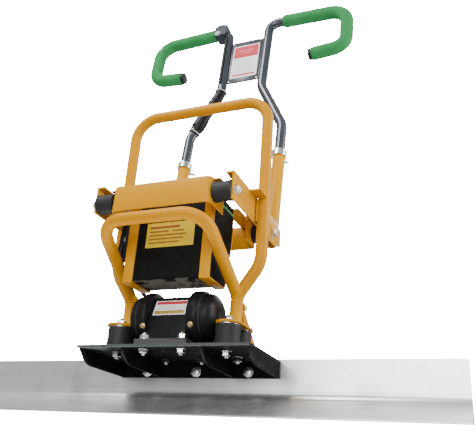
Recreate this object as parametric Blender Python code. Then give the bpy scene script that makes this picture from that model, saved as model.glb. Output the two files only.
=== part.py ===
"""Power screed: aluminium blade, vibration motor base, yellow tube frame, battery cradle and handle.

Frame: metres, +X to the machine's right seen from the motor side, +Y towards the operator, +Z up.
Y is zero at the blade wall's front face and Z is zero at the blade's sole.
Run in Blender 4.5: blender --background --python part.py
"""
import math

import bmesh
import bpy
from mathutils import Matrix, Vector

GAP = 0.0003

# Blade extrusion
BLADE_HALF = 0.545
WALL_TOP = 0.129
WALL_T = 0.004
TOE_Y = -0.140
COVE_TOP = 0.063
COVE_R = 0.022

# Motor base, bolted to the blade wall
BASE_HALF = 0.185
BASE_FRONT = -0.183
BASE_TOP = 0.125
BASE_T = 0.005
FLANGE_T = 0.006
FLANGE_LOW = 0.090
RIB_T = 0.005
RIB_X = (-0.181, -0.085, 0.085, 0.181)
FLANGE_BOLT_X = (-0.118, 0.0, 0.118)
FLANGE_BOLT_Z = 0.102

# Rubber isolators between base and frame
MOUNT_X = 0.120
MOUNT_Y = (-0.133, -0.075)
MOUNT_R = 0.025
MOUNT_LOW = 0.1273
MOUNT_HIGH = 0.1680
FOOT_LOW = 0.1703
FOOT_T = 0.005

# Vibration motor, axis along X
MOTOR_X = -0.004
MOTOR_Y = -0.110
MOTOR_Z = 0.190
HOUSING_HALF = 0.042
SHIELD_END = 0.068
COVER_END = {"left": 0.0895, "right": 0.0975}
SHIELD_R = 0.055
BOLT_DX = 0.041
BOLT_Y = (-0.158, -0.062)
FOOT_HALF = 0.057
FOOT_H = 0.012

# Tube frame
TUBE_R = 0.01275
TUBE_WALL = 0.002
LEG_X = 0.122
LEG_Y = -0.104
HOOP_X = 0.1691
HOOP_Y = -0.108
HOOP_TOP = 0.692
GUARD_X = 0.113
GUARD_Y = -0.270
GUARD_Z = 0.350

# Frame side plates and the rubber bushes that carry the battery cradle
SIDE_IN = 0.152
SIDE_T = 0.004
SIDE_Y = (-0.240, 0.030)
SIDE_Z = (0.386, 0.445)
BUSH_Y = (-0.228, -0.004)
BUSH_Z = 0.408
BUSH_R = 0.021
CRADLE_OUT = 0.111
CRADLE_T = 0.003
CRADLE_Z = (0.381, 0.437)
CRADLE_FRONT = -0.247
CRADLE_REAR = 0.016
RETURN_LEN = 0.068
STRAP_X = (0.0745, 0.0965)
ARM_OUT = 0.1070

# Battery box, lifted out upwards
BOX_HALF = 0.0965
BOX_FRONT = -0.185
BOX_REAR = -0.0925
BOX_REAR_LOW = -0.113
BOX_LOW = 0.2518
BOX_STEP = 0.345
BOX_TOP = 0.4145
LID_TOP = 0.434

# Handle: both tubes lie in one plane that leans back by LEAN metres per metre
LEAN = 0.135
TILT = math.atan(LEAN)
ACROSS = (0, math.cos(TILT), -math.sin(TILT))
SOCKET_X = 0.1335
SOCKET_R = 0.0160
SOCKET_LOW = 0.400
SOCKET_TOP = 0.650
AXIS_Y = 0.084
AXIS_Z = 0.664
HANDLE_R = 0.0137
HANDLE_WALL = 0.0018
GRIP_R = 0.0185

# Park stand
STAND_Y = -0.080
STAND_Z = 0.2165
STAND_LEN = 0.290
STAND_DIR = (0.7876, -0.6162)
PIN_HOLE = [(0, 0.0034, "round"), (0.05, 0.0034, "round")]

COLOURS = {
    "yellow_paint": ((0.85, 0.42, 0.03), 0.35, 0.0),
    "black_paint": ((0.02, 0.02, 0.022), 0.45, 0.0),
    "aluminium": ((0.75, 0.76, 0.77), 0.35, 1.0),
    "steel": ((0.62, 0.62, 0.60), 0.3, 1.0),
    "rubber": ((0.018, 0.018, 0.018), 0.75, 0.0),
    "black_plastic": ((0.02, 0.02, 0.022), 0.5, 0.0),
    "green_foam": ((0.05, 0.36, 0.10), 0.85, 0.0),
    "green_plastic": ((0.10, 0.55, 0.16), 0.5, 0.0),
    "grey_plastic": ((0.45, 0.46, 0.48), 0.5, 0.0),
    "copper": ((0.70, 0.35, 0.18), 0.4, 1.0),
    "cast_iron": ((0.25, 0.25, 0.26), 0.55, 1.0),
}


def clear_scene():
    for obj in list(bpy.data.objects):
        bpy.data.objects.remove(obj, do_unlink=True)


def make_material(name, colour):
    base, rough, metal = COLOURS[colour]
    mat = bpy.data.materials.new(name)
    mat.use_nodes = True
    shader = mat.node_tree.nodes["Principled BSDF"]
    shader.inputs["Base Color"].default_value = (*base, 1.0)
    shader.inputs["Roughness"].default_value = rough
    shader.inputs["Metallic"].default_value = metal
    mat.diffuse_color = (*base, 1.0)
    return mat


def add_empty(name, location):
    empty = bpy.data.objects.new(name, None)
    empty.location = location
    bpy.context.scene.collection.objects.link(empty)
    return empty


def add_object(name, bm, colour, parent=None, sharp=35):
    """Link a mesh built in world coordinates, with its origin at its middle, under its parent empty."""
    bmesh.ops.recalc_face_normals(bm, faces=bm.faces)
    low = Vector([min(v.co[i] for v in bm.verts) for i in range(3)])
    high = Vector([max(v.co[i] for v in bm.verts) for i in range(3)])
    middle = (low + high) / 2
    bm.transform(Matrix.Translation(-middle))
    mesh = bpy.data.meshes.new(name)
    bm.to_mesh(mesh)
    bm.free()
    mesh.shade_smooth()
    mesh.set_sharp_from_angle(angle=math.radians(sharp))
    obj = bpy.data.objects.new(name, mesh)
    bpy.context.scene.collection.objects.link(obj)
    if colour:
        mesh.materials.append(make_material(name, colour))
    obj.location = middle
    if parent:
        obj.location = middle - parent.location
        obj.parent = parent
    return obj


def add_cutter(name, bm, parent=None):
    obj = add_object(name, bm, None, parent)
    obj.hide_render = True
    obj.display_type = "WIRE"
    return obj


def boolean(obj, other, operation):
    mod = obj.modifiers.new(other.name, "BOOLEAN")
    mod.operation = operation
    mod.object = other
    mod.solver = "EXACT"


def prism(bm, outline, axis, low, high):
    """Extrude a closed outline along an axis: (y, z) along X, (x, z) along Y, (x, y) along Z."""
    place = {
        "X": lambda p, t: Vector((t, p[0], p[1])),
        "Y": lambda p, t: Vector((p[0], t, p[1])),
        "Z": lambda p, t: Vector((p[0], p[1], t)),
    }[axis]
    first = [bm.verts.new(place(p, low)) for p in outline]
    last = [bm.verts.new(place(p, high)) for p in outline]
    count = len(outline)
    bm.faces.new(first)
    bm.faces.new(list(reversed(last)))
    for i in range(count):
        j = (i + 1) % count
        bm.faces.new((first[j], first[i], last[i], last[j]))


def box(bm, x, y, z):
    prism(bm, [(x[0], y[0]), (x[1], y[0]), (x[1], y[1]), (x[0], y[1])], "Z", z[0], z[1])


def axes_for(direction):
    along = Vector(direction).normalized()
    helper = Vector((0, 0, 1)) if abs(along.z) < 0.9 else Vector((1, 0, 0))
    side = helper.cross(along).normalized()
    return along, side, along.cross(side)


def rim(centre, side, up, radius, angle):
    return centre + (side * math.cos(angle) + up * math.sin(angle)) * radius


def bridge(bm, a, b):
    count = len(a)
    for i in range(count):
        j = (i + 1) % count
        bm.faces.new((a[i], a[j], b[j], b[i]))


def lathe(bm, origin, direction, profile, steps=24):
    """Turn a closed profile of (distance along the axis, radius) points into a ring."""
    along, side, up = axes_for(direction)
    origin = Vector(origin)
    rings = []
    for t, radius in profile:
        ring = []
        for i in range(steps):
            angle = math.tau * i / steps
            ring.append(bm.verts.new(rim(origin + along * t, side, up, radius, angle)))
        rings.append(ring)
    for i, ring in enumerate(rings):
        bridge(bm, ring, rings[(i + 1) % len(rings)])


def spindle(bm, origin, direction, sections, steps=12):
    """Stack of round and hexagonal sections along an axis: (distance, radius or half width, kind)."""
    along, side, up = axes_for(direction)
    origin = Vector(origin)
    rings = []
    for t, size, kind in sections:
        ring = []
        for i in range(steps):
            angle = math.tau * i / steps
            radius = size
            if kind == "hex":
                off = (angle + math.pi / 6) % (math.pi / 3) - math.pi / 6
                radius = size / math.cos(off)
            ring.append(bm.verts.new(rim(origin + along * t, side, up, radius, angle)))
        rings.append(ring)
    bm.faces.new(rings[0])
    bm.faces.new(list(reversed(rings[-1])))
    for a, b in zip(rings, rings[1:]):
        bridge(bm, a, b)


def round_path(points, radii, steps=6):
    """Replace each inner corner of a polyline with an arc of the given radius."""
    points = [Vector(p) for p in points]
    path = [points[0]]
    for i in range(1, len(points) - 1):
        corner = points[i]
        a = (points[i - 1] - corner).normalized()
        b = (points[i + 1] - corner).normalized()
        half = a.angle(b) / 2
        radius = radii[i - 1]
        reach = radius / math.tan(half)
        centre = corner + (a + b).normalized() * radius / math.sin(half)
        start = corner + a * reach - centre
        end = corner + b * reach - centre
        sweep = start.angle(end)
        normal = start.cross(end).normalized()
        for k in range(steps + 1):
            path.append(centre + Matrix.Rotation(sweep * k / steps, 3, normal) @ start)
    path.append(points[-1])
    return path


def path_frames(path, side):
    """Directions and a side vector carried along the path without twist."""
    tangents = []
    for i in range(len(path)):
        a = path[max(i - 1, 0)]
        b = path[min(i + 1, len(path) - 1)]
        before = (path[i] - a).normalized()
        after = (b - path[i]).normalized()
        tangents.append((before + after).normalized())
    side = Vector(side) if side else axes_for(tangents[0])[1]
    frames = []
    for tangent in tangents:
        side = (side - tangent * side.dot(tangent)).normalized()
        frames.append((tangent, side, tangent.cross(side)))
    return frames


def sweep(bm, path, outer, inner=None, sides=8, side=None):
    """Round bar along a path, or a tube open at both ends when inner is given."""
    frames = path_frames(path, side)

    def rings(radius):
        result = []
        for point, (_, side, up) in zip(path, frames):
            ring = []
            for i in range(sides):
                angle = math.tau * (i + 0.5) / sides
                ring.append(bm.verts.new(rim(point, side, up, radius, angle)))
            result.append(ring)
        for a, b in zip(result, result[1:]):
            bridge(bm, a, b)
        return result

    outside = rings(outer)
    if inner is None:
        bm.faces.new(outside[0])
        bm.faces.new(list(reversed(outside[-1])))
        return
    inside = rings(inner)
    bridge(bm, outside[0], inside[0])
    bridge(bm, outside[-1], inside[-1])


def offset_strip(points, thickness):
    """Closed outline of a strip of constant thickness along an open polyline, on its left side."""
    points = [Vector(p) for p in points]
    normals = []
    for a, b in zip(points, points[1:]):
        d = (b - a).normalized()
        normals.append(Vector((-d.y, d.x)))
    left = []
    for i, point in enumerate(points):
        before = normals[max(i - 1, 0)]
        after = normals[min(i, len(normals) - 1)]
        mid = (before + after).normalized()
        left.append(point + mid * thickness / mid.dot(after))
    return [tuple(p) for p in points] + [tuple(p) for p in reversed(left)]


def lean(x, z):
    """Point of the leaning handle plane at width x and height z."""
    return Vector((x, AXIS_Y + LEAN * (z - AXIS_Z), z))


def build_blade():
    arc = []
    for i in range(7):
        angle = -math.radians(73) * i / 6
        arc.append((-COVE_R + COVE_R * math.cos(angle), COVE_TOP + COVE_R * math.sin(angle)))
    outline = [(WALL_T, 0.0), (WALL_T, WALL_TOP), (0.0, WALL_TOP)] + arc
    outline += [(TOE_Y + 0.004, 0.0040), (TOE_Y, 0.0026), (TOE_Y, 0.0008), (TOE_Y + 0.001, 0.0)]
    bm = bmesh.new()
    prism(bm, outline, "X", -BLADE_HALF, BLADE_HALF)
    blade = add_object("blade", bm, "aluminium")
    bm = bmesh.new()
    out = BLADE_HALF + 0.01
    rear = [(0.001, 0.0032), (0.001, 0.0380), (-0.018, 0.0365), (-0.058, 0.0240), (-0.058, 0.0032)]
    front = [(-0.061, 0.0032), (-0.061, 0.0230), (-0.112, 0.0076), (-0.114, 0.0032)]
    prism(bm, rear, "X", -out, out)
    prism(bm, front, "X", -out, out)
    for x in FLANGE_BOLT_X:
        spindle(bm, (x, -0.02, FLANGE_BOLT_Z), (0, 1, 0), [(0, 0.0054, "round"), (0.04, 0.0054, "round")])
    boolean(blade, add_cutter("cut_blade", bm), "DIFFERENCE")


def build_base():
    bm = bmesh.new()
    box(bm, (-BASE_HALF, BASE_HALF), (BASE_FRONT, -GAP), (BASE_TOP - BASE_T, BASE_TOP))
    base = add_object("base_plate", bm, "black_paint")
    bm = bmesh.new()
    box(bm, (-BASE_HALF, BASE_HALF), (-GAP - FLANGE_T, -GAP), (FLANGE_LOW, BASE_TOP - 0.001))
    boolean(base, add_cutter("join_flange", bm), "UNION")
    rib = [(-0.004, 0.1215), (-0.004, 0.0905), (-0.133, 0.0915), (-0.146, 0.0945), (-0.157, 0.1005)]
    rib += [(-0.166, 0.1085), (-0.173, 0.1155), (-0.176, 0.1215)]
    bm = bmesh.new()
    for x in RIB_X:
        prism(bm, rib, "X", x - RIB_T / 2, x + RIB_T / 2)
    boolean(base, add_cutter("join_ribs", bm), "UNION")
    bm = bmesh.new()
    for x in (-MOUNT_X, MOUNT_X):
        for y in MOUNT_Y:
            spindle(bm, (x, y, 0.11), (0, 0, 1), [(0, 0.0054, "round"), (0.03, 0.0054, "round")])
    for x in (-BOLT_DX, BOLT_DX):
        for y in BOLT_Y:
            spindle(bm, (MOTOR_X + x, y, 0.11), (0, 0, 1), [(0, 0.0044, "round"), (0.03, 0.0044, "round")])
    for x in FLANGE_BOLT_X:
        spindle(bm, (x, -0.02, FLANGE_BOLT_Z), (0, 1, 0), [(0, 0.0054, "round"), (0.04, 0.0054, "round")])
    boolean(base, add_cutter("cut_base", bm), "DIFFERENCE")
    head = -GAP - FLANGE_T - GAP
    sections = [(-0.0085, 0.0075, "round"), (-0.0075, 0.0088, "hex"), (-0.0020, 0.0088, "hex")]
    sections += [(-0.0019, 0.0105, "round"), (0.0, 0.0105, "round"), (0.0001, 0.0050, "round")]
    sections += [(0.0113, 0.0050, "round"), (0.0114, 0.0105, "round"), (0.0134, 0.0105, "round")]
    sections += [(0.0135, 0.0088, "hex"), (0.0215, 0.0088, "hex"), (0.0216, 0.0050, "round")]
    sections += [(0.0260, 0.0050, "round")]
    for place, x in zip(("left", "middle", "right"), FLANGE_BOLT_X):
        bm = bmesh.new()
        spindle(bm, (x, head, FLANGE_BOLT_Z), (0, 1, 0), sections)
        add_object("flange_bolt_" + place, bm, "steel")


def build_isolators():
    """Rubber mounts, each with the stud bonded into its lower end and the nut under the plate."""
    high = MOUNT_HIGH - MOUNT_LOW
    low = BASE_TOP - BASE_T - MOUNT_LOW - GAP
    sections = [(low - 0.0140, 0.0046, "round"), (low - 0.0095, 0.0050, "round"), (low - 0.0094, 0.0083, "hex")]
    sections += [(low - 0.0018, 0.0083, "hex"), (low - 0.0017, 0.0100, "round"), (low, 0.0100, "round")]
    sections += [(low + 0.0001, 0.0050, "round"), (-0.0018, 0.0050, "round"), (-0.0017, 0.0230, "round")]
    sections += [(0, 0.0235, "round"), (0.002, MOUNT_R, "round"), (high / 2, MOUNT_R - 0.0012, "round")]
    sections += [(high - 0.002, MOUNT_R, "round"), (high, 0.0235, "round")]
    for side, sign in (("left", -1), ("right", 1)):
        for place, y in zip(("front", "rear"), MOUNT_Y):
            bm = bmesh.new()
            spindle(bm, (sign * MOUNT_X, y, MOUNT_LOW), (0, 0, 1), sections, 12)
            add_object("isolator_" + place + "_" + side, bm, "rubber")


def build_motor():
    centre = Vector((MOTOR_X, MOTOR_Y, MOTOR_Z))
    low = BASE_TOP + GAP
    outline = [(-0.150, low), (-0.070, low), (-0.069, 0.152), (-0.071, 0.186), (-0.087, 0.229)]
    outline += [(-0.133, 0.229), (-0.149, 0.186), (-0.151, 0.152)]
    bm = bmesh.new()
    prism(bm, outline, "X", MOTOR_X - HOUSING_HALF, MOTOR_X + HOUSING_HALF)
    housing = add_object("motor_housing", bm, "black_paint")
    bm = bmesh.new()
    for y in ((-0.172, -0.144), (-0.076, -0.048)):
        box(bm, (MOTOR_X - FOOT_HALF, MOTOR_X + FOOT_HALF), y, (low, low + FOOT_H))
    boolean(housing, add_cutter("join_motor_feet", bm), "UNION")
    bm = bmesh.new()
    out = HOUSING_HALF + 0.01
    spindle(bm, centre - Vector((out, 0, 0)), (1, 0, 0), [(0, 0.0335, "round"), (2 * out, 0.0335, "round")], 24)
    boolean(housing, add_cutter("cut_motor_bore", bm), "DIFFERENCE")
    bm = bmesh.new()
    for x in (-BOLT_DX, BOLT_DX):
        for y in BOLT_Y:
            spindle(bm, (MOTOR_X + x, y, 0.11), (0, 0, 1), [(0, 0.0044, "round"), (0.05, 0.0044, "round")])
    boolean(housing, add_cutter("cut_motor_feet", bm), "DIFFERENCE")
    bm = bmesh.new()
    lathe(bm, centre, (1, 0, 0), [(-0.030, 0.0255), (-0.030, 0.0332), (0.030, 0.0332), (0.030, 0.0255)])
    add_object("motor_stator", bm, "copper")
    for side, sign in (("left", -1), ("right", 1)):
        direction = (sign, 0, 0)
        a = HOUSING_HALF + GAP
        b = SHIELD_END
        ring = [(a, 0.0182), (a, 0.050), (a + 0.003, SHIELD_R), (b - 0.003, SHIELD_R), (b, 0.050), (b, 0.0182)]
        bm = bmesh.new()
        lathe(bm, centre, direction, ring, 20)
        add_object("motor_shield_" + side, bm, "black_paint")
        c = COVER_END[side]
        cup = [(b + GAP, 0.0465), (b + GAP, 0.0495), (b + 0.008, 0.0490), (c - 0.008, 0.0440)]
        cup += [(c - 0.002, 0.0365), (c, 0.0290), (c, 0.0100), (c - 0.0025, 0.0100)]
        cup += [(c - 0.0025, 0.0280), (c - 0.0045, 0.0340)]
        cup += [(c - 0.010, 0.0410), (b + 0.008, 0.0455)]
        bm = bmesh.new()
        lathe(bm, centre, direction, cup, 16)
        add_object("motor_cover_" + side, bm, "black_paint")
        bm = bmesh.new()
        lathe(bm, centre, direction, [(0.050, 0.0093), (0.050, 0.0179), (0.063, 0.0179), (0.063, 0.0093)], 20)
        add_object("motor_bearing_" + side, bm, "steel")


def build_rotor():
    centre = Vector((MOTOR_X, MOTOR_Y, MOTOR_Z))
    spin = add_empty("axis_rotor", centre)
    bm = bmesh.new()
    sections = [(-0.086, 0.0080, "round"), (-0.085, 0.0090, "round"), (-0.034, 0.0090, "round")]
    sections += [(-0.033, 0.0250, "round"), (0.033, 0.0250, "round"), (0.034, 0.0090, "round")]
    sections += [(0.085, 0.0090, "round"), (0.086, 0.0080, "round")]
    spindle(bm, centre, (1, 0, 0), sections, 20)
    add_object("motor_shaft", bm, "steel", spin)
    half = [(0.033 * math.cos(math.pi * i / 10), -0.033 * math.sin(math.pi * i / 10)) for i in range(11)]
    outline = half + [(-0.014, 0.010), (-0.007, 0.0145), (0.007, 0.0145), (0.014, 0.010)]
    outline = [(y + MOTOR_Y, z + MOTOR_Z) for y, z in outline]
    for side, sign in (("left", -1), ("right", 1)):
        bm = bmesh.new()
        prism(bm, outline, "X", *sorted((MOTOR_X + sign * 0.082, MOTOR_X + sign * 0.070)))
        weight = add_object("motor_weight_" + side, bm, "cast_iron", spin)
        bm = bmesh.new()
        start = centre + Vector((sign * 0.06, 0, 0))
        spindle(bm, start, (sign, 0, 0), [(0, 0.0093, "round"), (0.05, 0.0093, "round")], 20)
        boolean(weight, add_cutter("cut_weight_" + side, bm, spin), "DIFFERENCE")


def hoop_path():
    right = [(LEG_X, LEG_Y, FOOT_LOW + FOOT_T + GAP), (LEG_X, LEG_Y, 0.233), (HOOP_X, LEG_Y, 0.301)]
    right += [(HOOP_X, HOOP_Y, HOOP_TOP)]
    left = [(-x, y, z) for x, y, z in reversed(right)]
    return round_path(right + left, [0.050, 0.070, 0.055, 0.055, 0.070, 0.050], 4)


def build_feet(frame):
    for side, sign in (("left", -1), ("right", 1)):
        outline = []
        for i in range(18):
            angle = math.pi * (i if i < 9 else i - 1) / 8
            y = MOUNT_Y[1] if i < 9 else MOUNT_Y[0]
            outline.append((sign * LEG_X + 0.026 * math.cos(angle), y + 0.026 * math.sin(angle)))
        bm = bmesh.new()
        prism(bm, outline, "Z", FOOT_LOW, FOOT_LOW + FOOT_T)
        plate = add_object("foot_plate_" + side, bm, "yellow_paint", frame)
        bm = bmesh.new()
        for y in MOUNT_Y:
            spindle(bm, (sign * MOUNT_X, y, 0.16), (0, 0, 1), [(0, 0.0054, "round"), (0.03, 0.0054, "round")])
        boolean(plate, add_cutter("cut_foot_" + side, bm, frame), "DIFFERENCE")
    sections = [(-0.0017, 0.0230, "round"), (0, 0.0230, "round"), (0.0001, 0.0050, "round")]
    sections += [(FOOT_T + 2 * GAP, 0.0050, "round"), (FOOT_T + 2 * GAP + 0.0001, 0.0100, "round")]
    sections += [(0.0073, 0.0100, "round"), (0.0074, 0.0083, "hex"), (0.0135, 0.0083, "hex")]
    sections += [(0.0145, 0.0072, "round"), (0.0180, 0.0060, "round"), (0.0198, 0.0030, "round")]
    for side, sign in (("left", -1), ("right", 1)):
        for place, y in zip(("front", "rear"), MOUNT_Y):
            bm = bmesh.new()
            spindle(bm, (sign * MOUNT_X, y, FOOT_LOW - GAP), (0, 0, 1), sections)
            add_object("isolator_nut_" + place + "_" + side, bm, "steel", frame)


def build_hoops(frame):
    """Rear hoop, and the front guard hoop with its ends coped onto the rear hoop's legs."""
    bm = bmesh.new()
    sweep(bm, hoop_path(), TUBE_R, TUBE_R - TUBE_WALL)
    hoop = add_object("rear_hoop", bm, "yellow_paint", frame)
    lug = [(-0.0950, 0.2075), (-0.080, 0.2065), (-0.072, 0.2110), (-0.070, 0.2165), (-0.072, 0.2220)]
    lug += [(-0.080, 0.2265), (-0.0950, 0.2265)]
    bm = bmesh.new()
    for sign in (-1, 1):
        for x in (LEG_X - 0.0075, LEG_X + 0.0035):
            prism(bm, lug, "X", *sorted((sign * x, sign * (x + 0.004))))
    boolean(hoop, add_cutter("join_lugs", bm, frame), "UNION")
    bm = bmesh.new()
    for sign in (-1, 1):
        spindle(bm, (sign * 0.10, STAND_Y, STAND_Z), (sign, 0, 0), PIN_HOLE)
    boolean(hoop, add_cutter("cut_lugs", bm, frame), "DIFFERENCE")
    ends = [(LEG_X, LEG_Y, 0.2360), (GUARD_X, GUARD_Y, GUARD_Z)]
    guard = ends + [(-x, y, z) for x, y, z in reversed(ends)]
    bm = bmesh.new()
    sweep(bm, round_path(guard, [0.050, 0.050], 4), TUBE_R, TUBE_R - TUBE_WALL)
    front = add_object("front_hoop", bm, "yellow_paint", frame)
    bm = bmesh.new()
    sweep(bm, hoop_path(), TUBE_R + GAP)
    boolean(front, add_cutter("cut_front_hoop", bm, frame), "DIFFERENCE")


def build_side(frame, side, sign):
    """One side plate with its top flange, weld tab and socket bracket, plus bushes and socket."""
    bm = bmesh.new()
    box(bm, sorted((sign * SIDE_IN, sign * (SIDE_IN + SIDE_T))), SIDE_Y, SIDE_Z)
    plate = add_object("side_plate_" + side, bm, "yellow_paint", frame)
    flange = (0.138, 0.154), (SIDE_Y[0], -0.030), (SIDE_Z[1] - 0.004, SIDE_Z[1])
    tab = (0.154, 0.180), (-0.155, HOOP_Y - TUBE_R - 0.001), (0.441, SIDE_Z[1])
    bracket = (0.1498, 0.153), (0.019, 0.062), (0.398, 0.440)
    for part, (x, y, z) in (("flange", flange), ("tab", tab), ("bracket", bracket)):
        bm = bmesh.new()
        box(bm, sorted((sign * x[0], sign * x[1])), y, z)
        boolean(plate, add_cutter("join_" + part + "_" + side, bm, frame), "UNION")
    bm = bmesh.new()
    for y in BUSH_Y:
        spindle(bm, (sign * 0.14, y, BUSH_Z), (sign, 0, 0), [(0, 0.0054, "round"), (0.03, 0.0054, "round")])
    boolean(plate, add_cutter("cut_side_" + side, bm, frame), "DIFFERENCE")
    length = SIDE_IN - GAP - CRADLE_OUT - GAP
    nut = length + 2 * GAP + SIDE_T
    sections = [(0, 0.0200, "round"), (0.0015, BUSH_R, "round"), (length / 2, 0.0200, "round")]
    sections += [(length - 0.0015, BUSH_R, "round"), (length, 0.0200, "round")]
    sections += [(length + 0.0001, 0.0050, "round"), (nut, 0.0050, "round")]
    sections += [(nut + 0.0001, 0.0100, "round"), (nut + 0.0017, 0.0100, "round")]
    sections += [(nut + 0.0018, 0.0083, "hex"), (nut + 0.0078, 0.0083, "hex"), (nut + 0.0079, 0.0050, "round")]
    sections += [(nut + 0.0110, 0.0046, "round")]
    for place, y in zip(("front", "rear"), BUSH_Y):
        bm = bmesh.new()
        spindle(bm, (sign * (CRADLE_OUT + GAP), y, BUSH_Z), (sign, 0, 0), sections, 12)
        add_object("bush_" + place + "_" + side, bm, "rubber", frame)
    bm = bmesh.new()
    sweep(bm, [lean(sign * SOCKET_X, SOCKET_LOW), lean(sign * SOCKET_X, SOCKET_TOP)], SOCKET_R, 0.0142, 14)
    add_object("socket_" + side, bm, "yellow_paint", frame)


def build_collar(frame, side, sign):
    """Clamp collar on a socket's upper end, with a threaded boss towards the operator."""
    along = lean(0, 1) - lean(0, 0)
    start = lean(sign * SOCKET_X, SOCKET_TOP + GAP)
    bm = bmesh.new()
    lathe(bm, start, along, [(0, 0.0141), (0, 0.0195), (0.018, 0.0195), (0.018, 0.0141)], 16)
    collar = add_object("collar_" + side, bm, "steel", frame)
    at = lean(sign * SOCKET_X, SOCKET_TOP + 0.0095)
    bm = bmesh.new()
    spindle(bm, at, ACROSS, [(0.0160, 0.0062, "round"), (0.0250, 0.0062, "round")])
    boolean(collar, add_cutter("join_boss_" + side, bm, frame), "UNION")
    bm = bmesh.new()
    spindle(bm, at, ACROSS, [(0.005, 0.0033, "round"), (0.030, 0.0033, "round")])
    boolean(collar, add_cutter("cut_boss_" + side, bm, frame), "DIFFERENCE")


def build_wing_bolts():
    across = Vector(ACROSS)
    for side, sign in (("left", -1), ("right", 1)):
        at = lean(sign * SOCKET_X, SOCKET_TOP + 0.0095)
        empty = add_empty("axis_wing_" + side, at)
        bm = bmesh.new()
        sections = [(HANDLE_R + GAP, 0.0030, "round"), (0.0270, 0.0030, "round"), (0.0275, 0.0055, "round")]
        sections += [(0.0355, 0.0045, "round")]
        spindle(bm, at, across, sections)
        wing = add_object("wing_bolt_" + side, bm, "steel", empty)
        bm = bmesh.new()
        for flip in (-1, 1):
            tip = at + across * 0.0425 + Vector((flip * 0.0140, 0, 0))
            root = at + across * 0.0310 + Vector((flip * 0.0015, 0, 0))
            sweep(bm, [root, tip], 0.0036, None, 8)
        boolean(wing, add_cutter("join_wings_" + side, bm, empty), "UNION")


def build_cradle(cradle):
    bend = 0.012
    for name, face, sign in (("cradle_front", CRADLE_FRONT, 1), ("cradle_rear", CRADLE_REAR, -1)):
        end = face + sign * RETURN_LEN
        points = [(CRADLE_OUT, end)]
        for i in range(6):
            angle = math.pi / 2 * i / 5
            x = CRADLE_OUT - bend + bend * math.cos(angle)
            points.append((x, face + sign * (bend - bend * math.sin(angle))))
        points += [(-x, y) for x, y in reversed(points)]
        strip = offset_strip(points, -sign * CRADLE_T)
        bm = bmesh.new()
        prism(bm, strip, "Z", *CRADLE_Z)
        bracket = add_object(name, bm, "yellow_paint", cradle)
        bm = bmesh.new()
        for flip in (-1, 1):
            span = sorted((flip * (CRADLE_OUT - 0.0015), flip * (CRADLE_OUT + 0.013)))
            box(bm, span, sorted((face + sign * 0.014, end)), (CRADLE_Z[1] - 0.003, CRADLE_Z[1]))
        boolean(bracket, add_cutter("join_" + name, bm, cradle), "UNION")
    over = CRADLE_Z[1] - 0.002
    rear_in = BOX_REAR + GAP
    path = [(CRADLE_FRONT + CRADLE_T + GAP, over), (BOX_FRONT - GAP, over), (BOX_FRONT - GAP, BOX_LOW - GAP)]
    path += [(BOX_REAR_LOW + 0.0012, BOX_LOW - GAP), (rear_in, BOX_STEP), (rear_in, over)]
    path += [(CRADLE_REAR - CRADLE_T - GAP, over)]
    strip = offset_strip(path, -0.003)
    for side, sign in (("left", -1), ("right", 1)):
        bm = bmesh.new()
        prism(bm, strip, "X", *sorted((sign * STRAP_X[0], sign * STRAP_X[1])))
        stirrup = add_object("stirrup_" + side, bm, "yellow_paint", cradle)
        bm = bmesh.new()
        span = sorted((sign * STRAP_X[0], sign * ARM_OUT))
        box(bm, span, (rear_in + 0.0005, CRADLE_REAR - bend - 0.0005), (over - 0.003, over))
        boolean(stirrup, add_cutter("join_arm_" + side, bm, cradle), "UNION")


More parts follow.
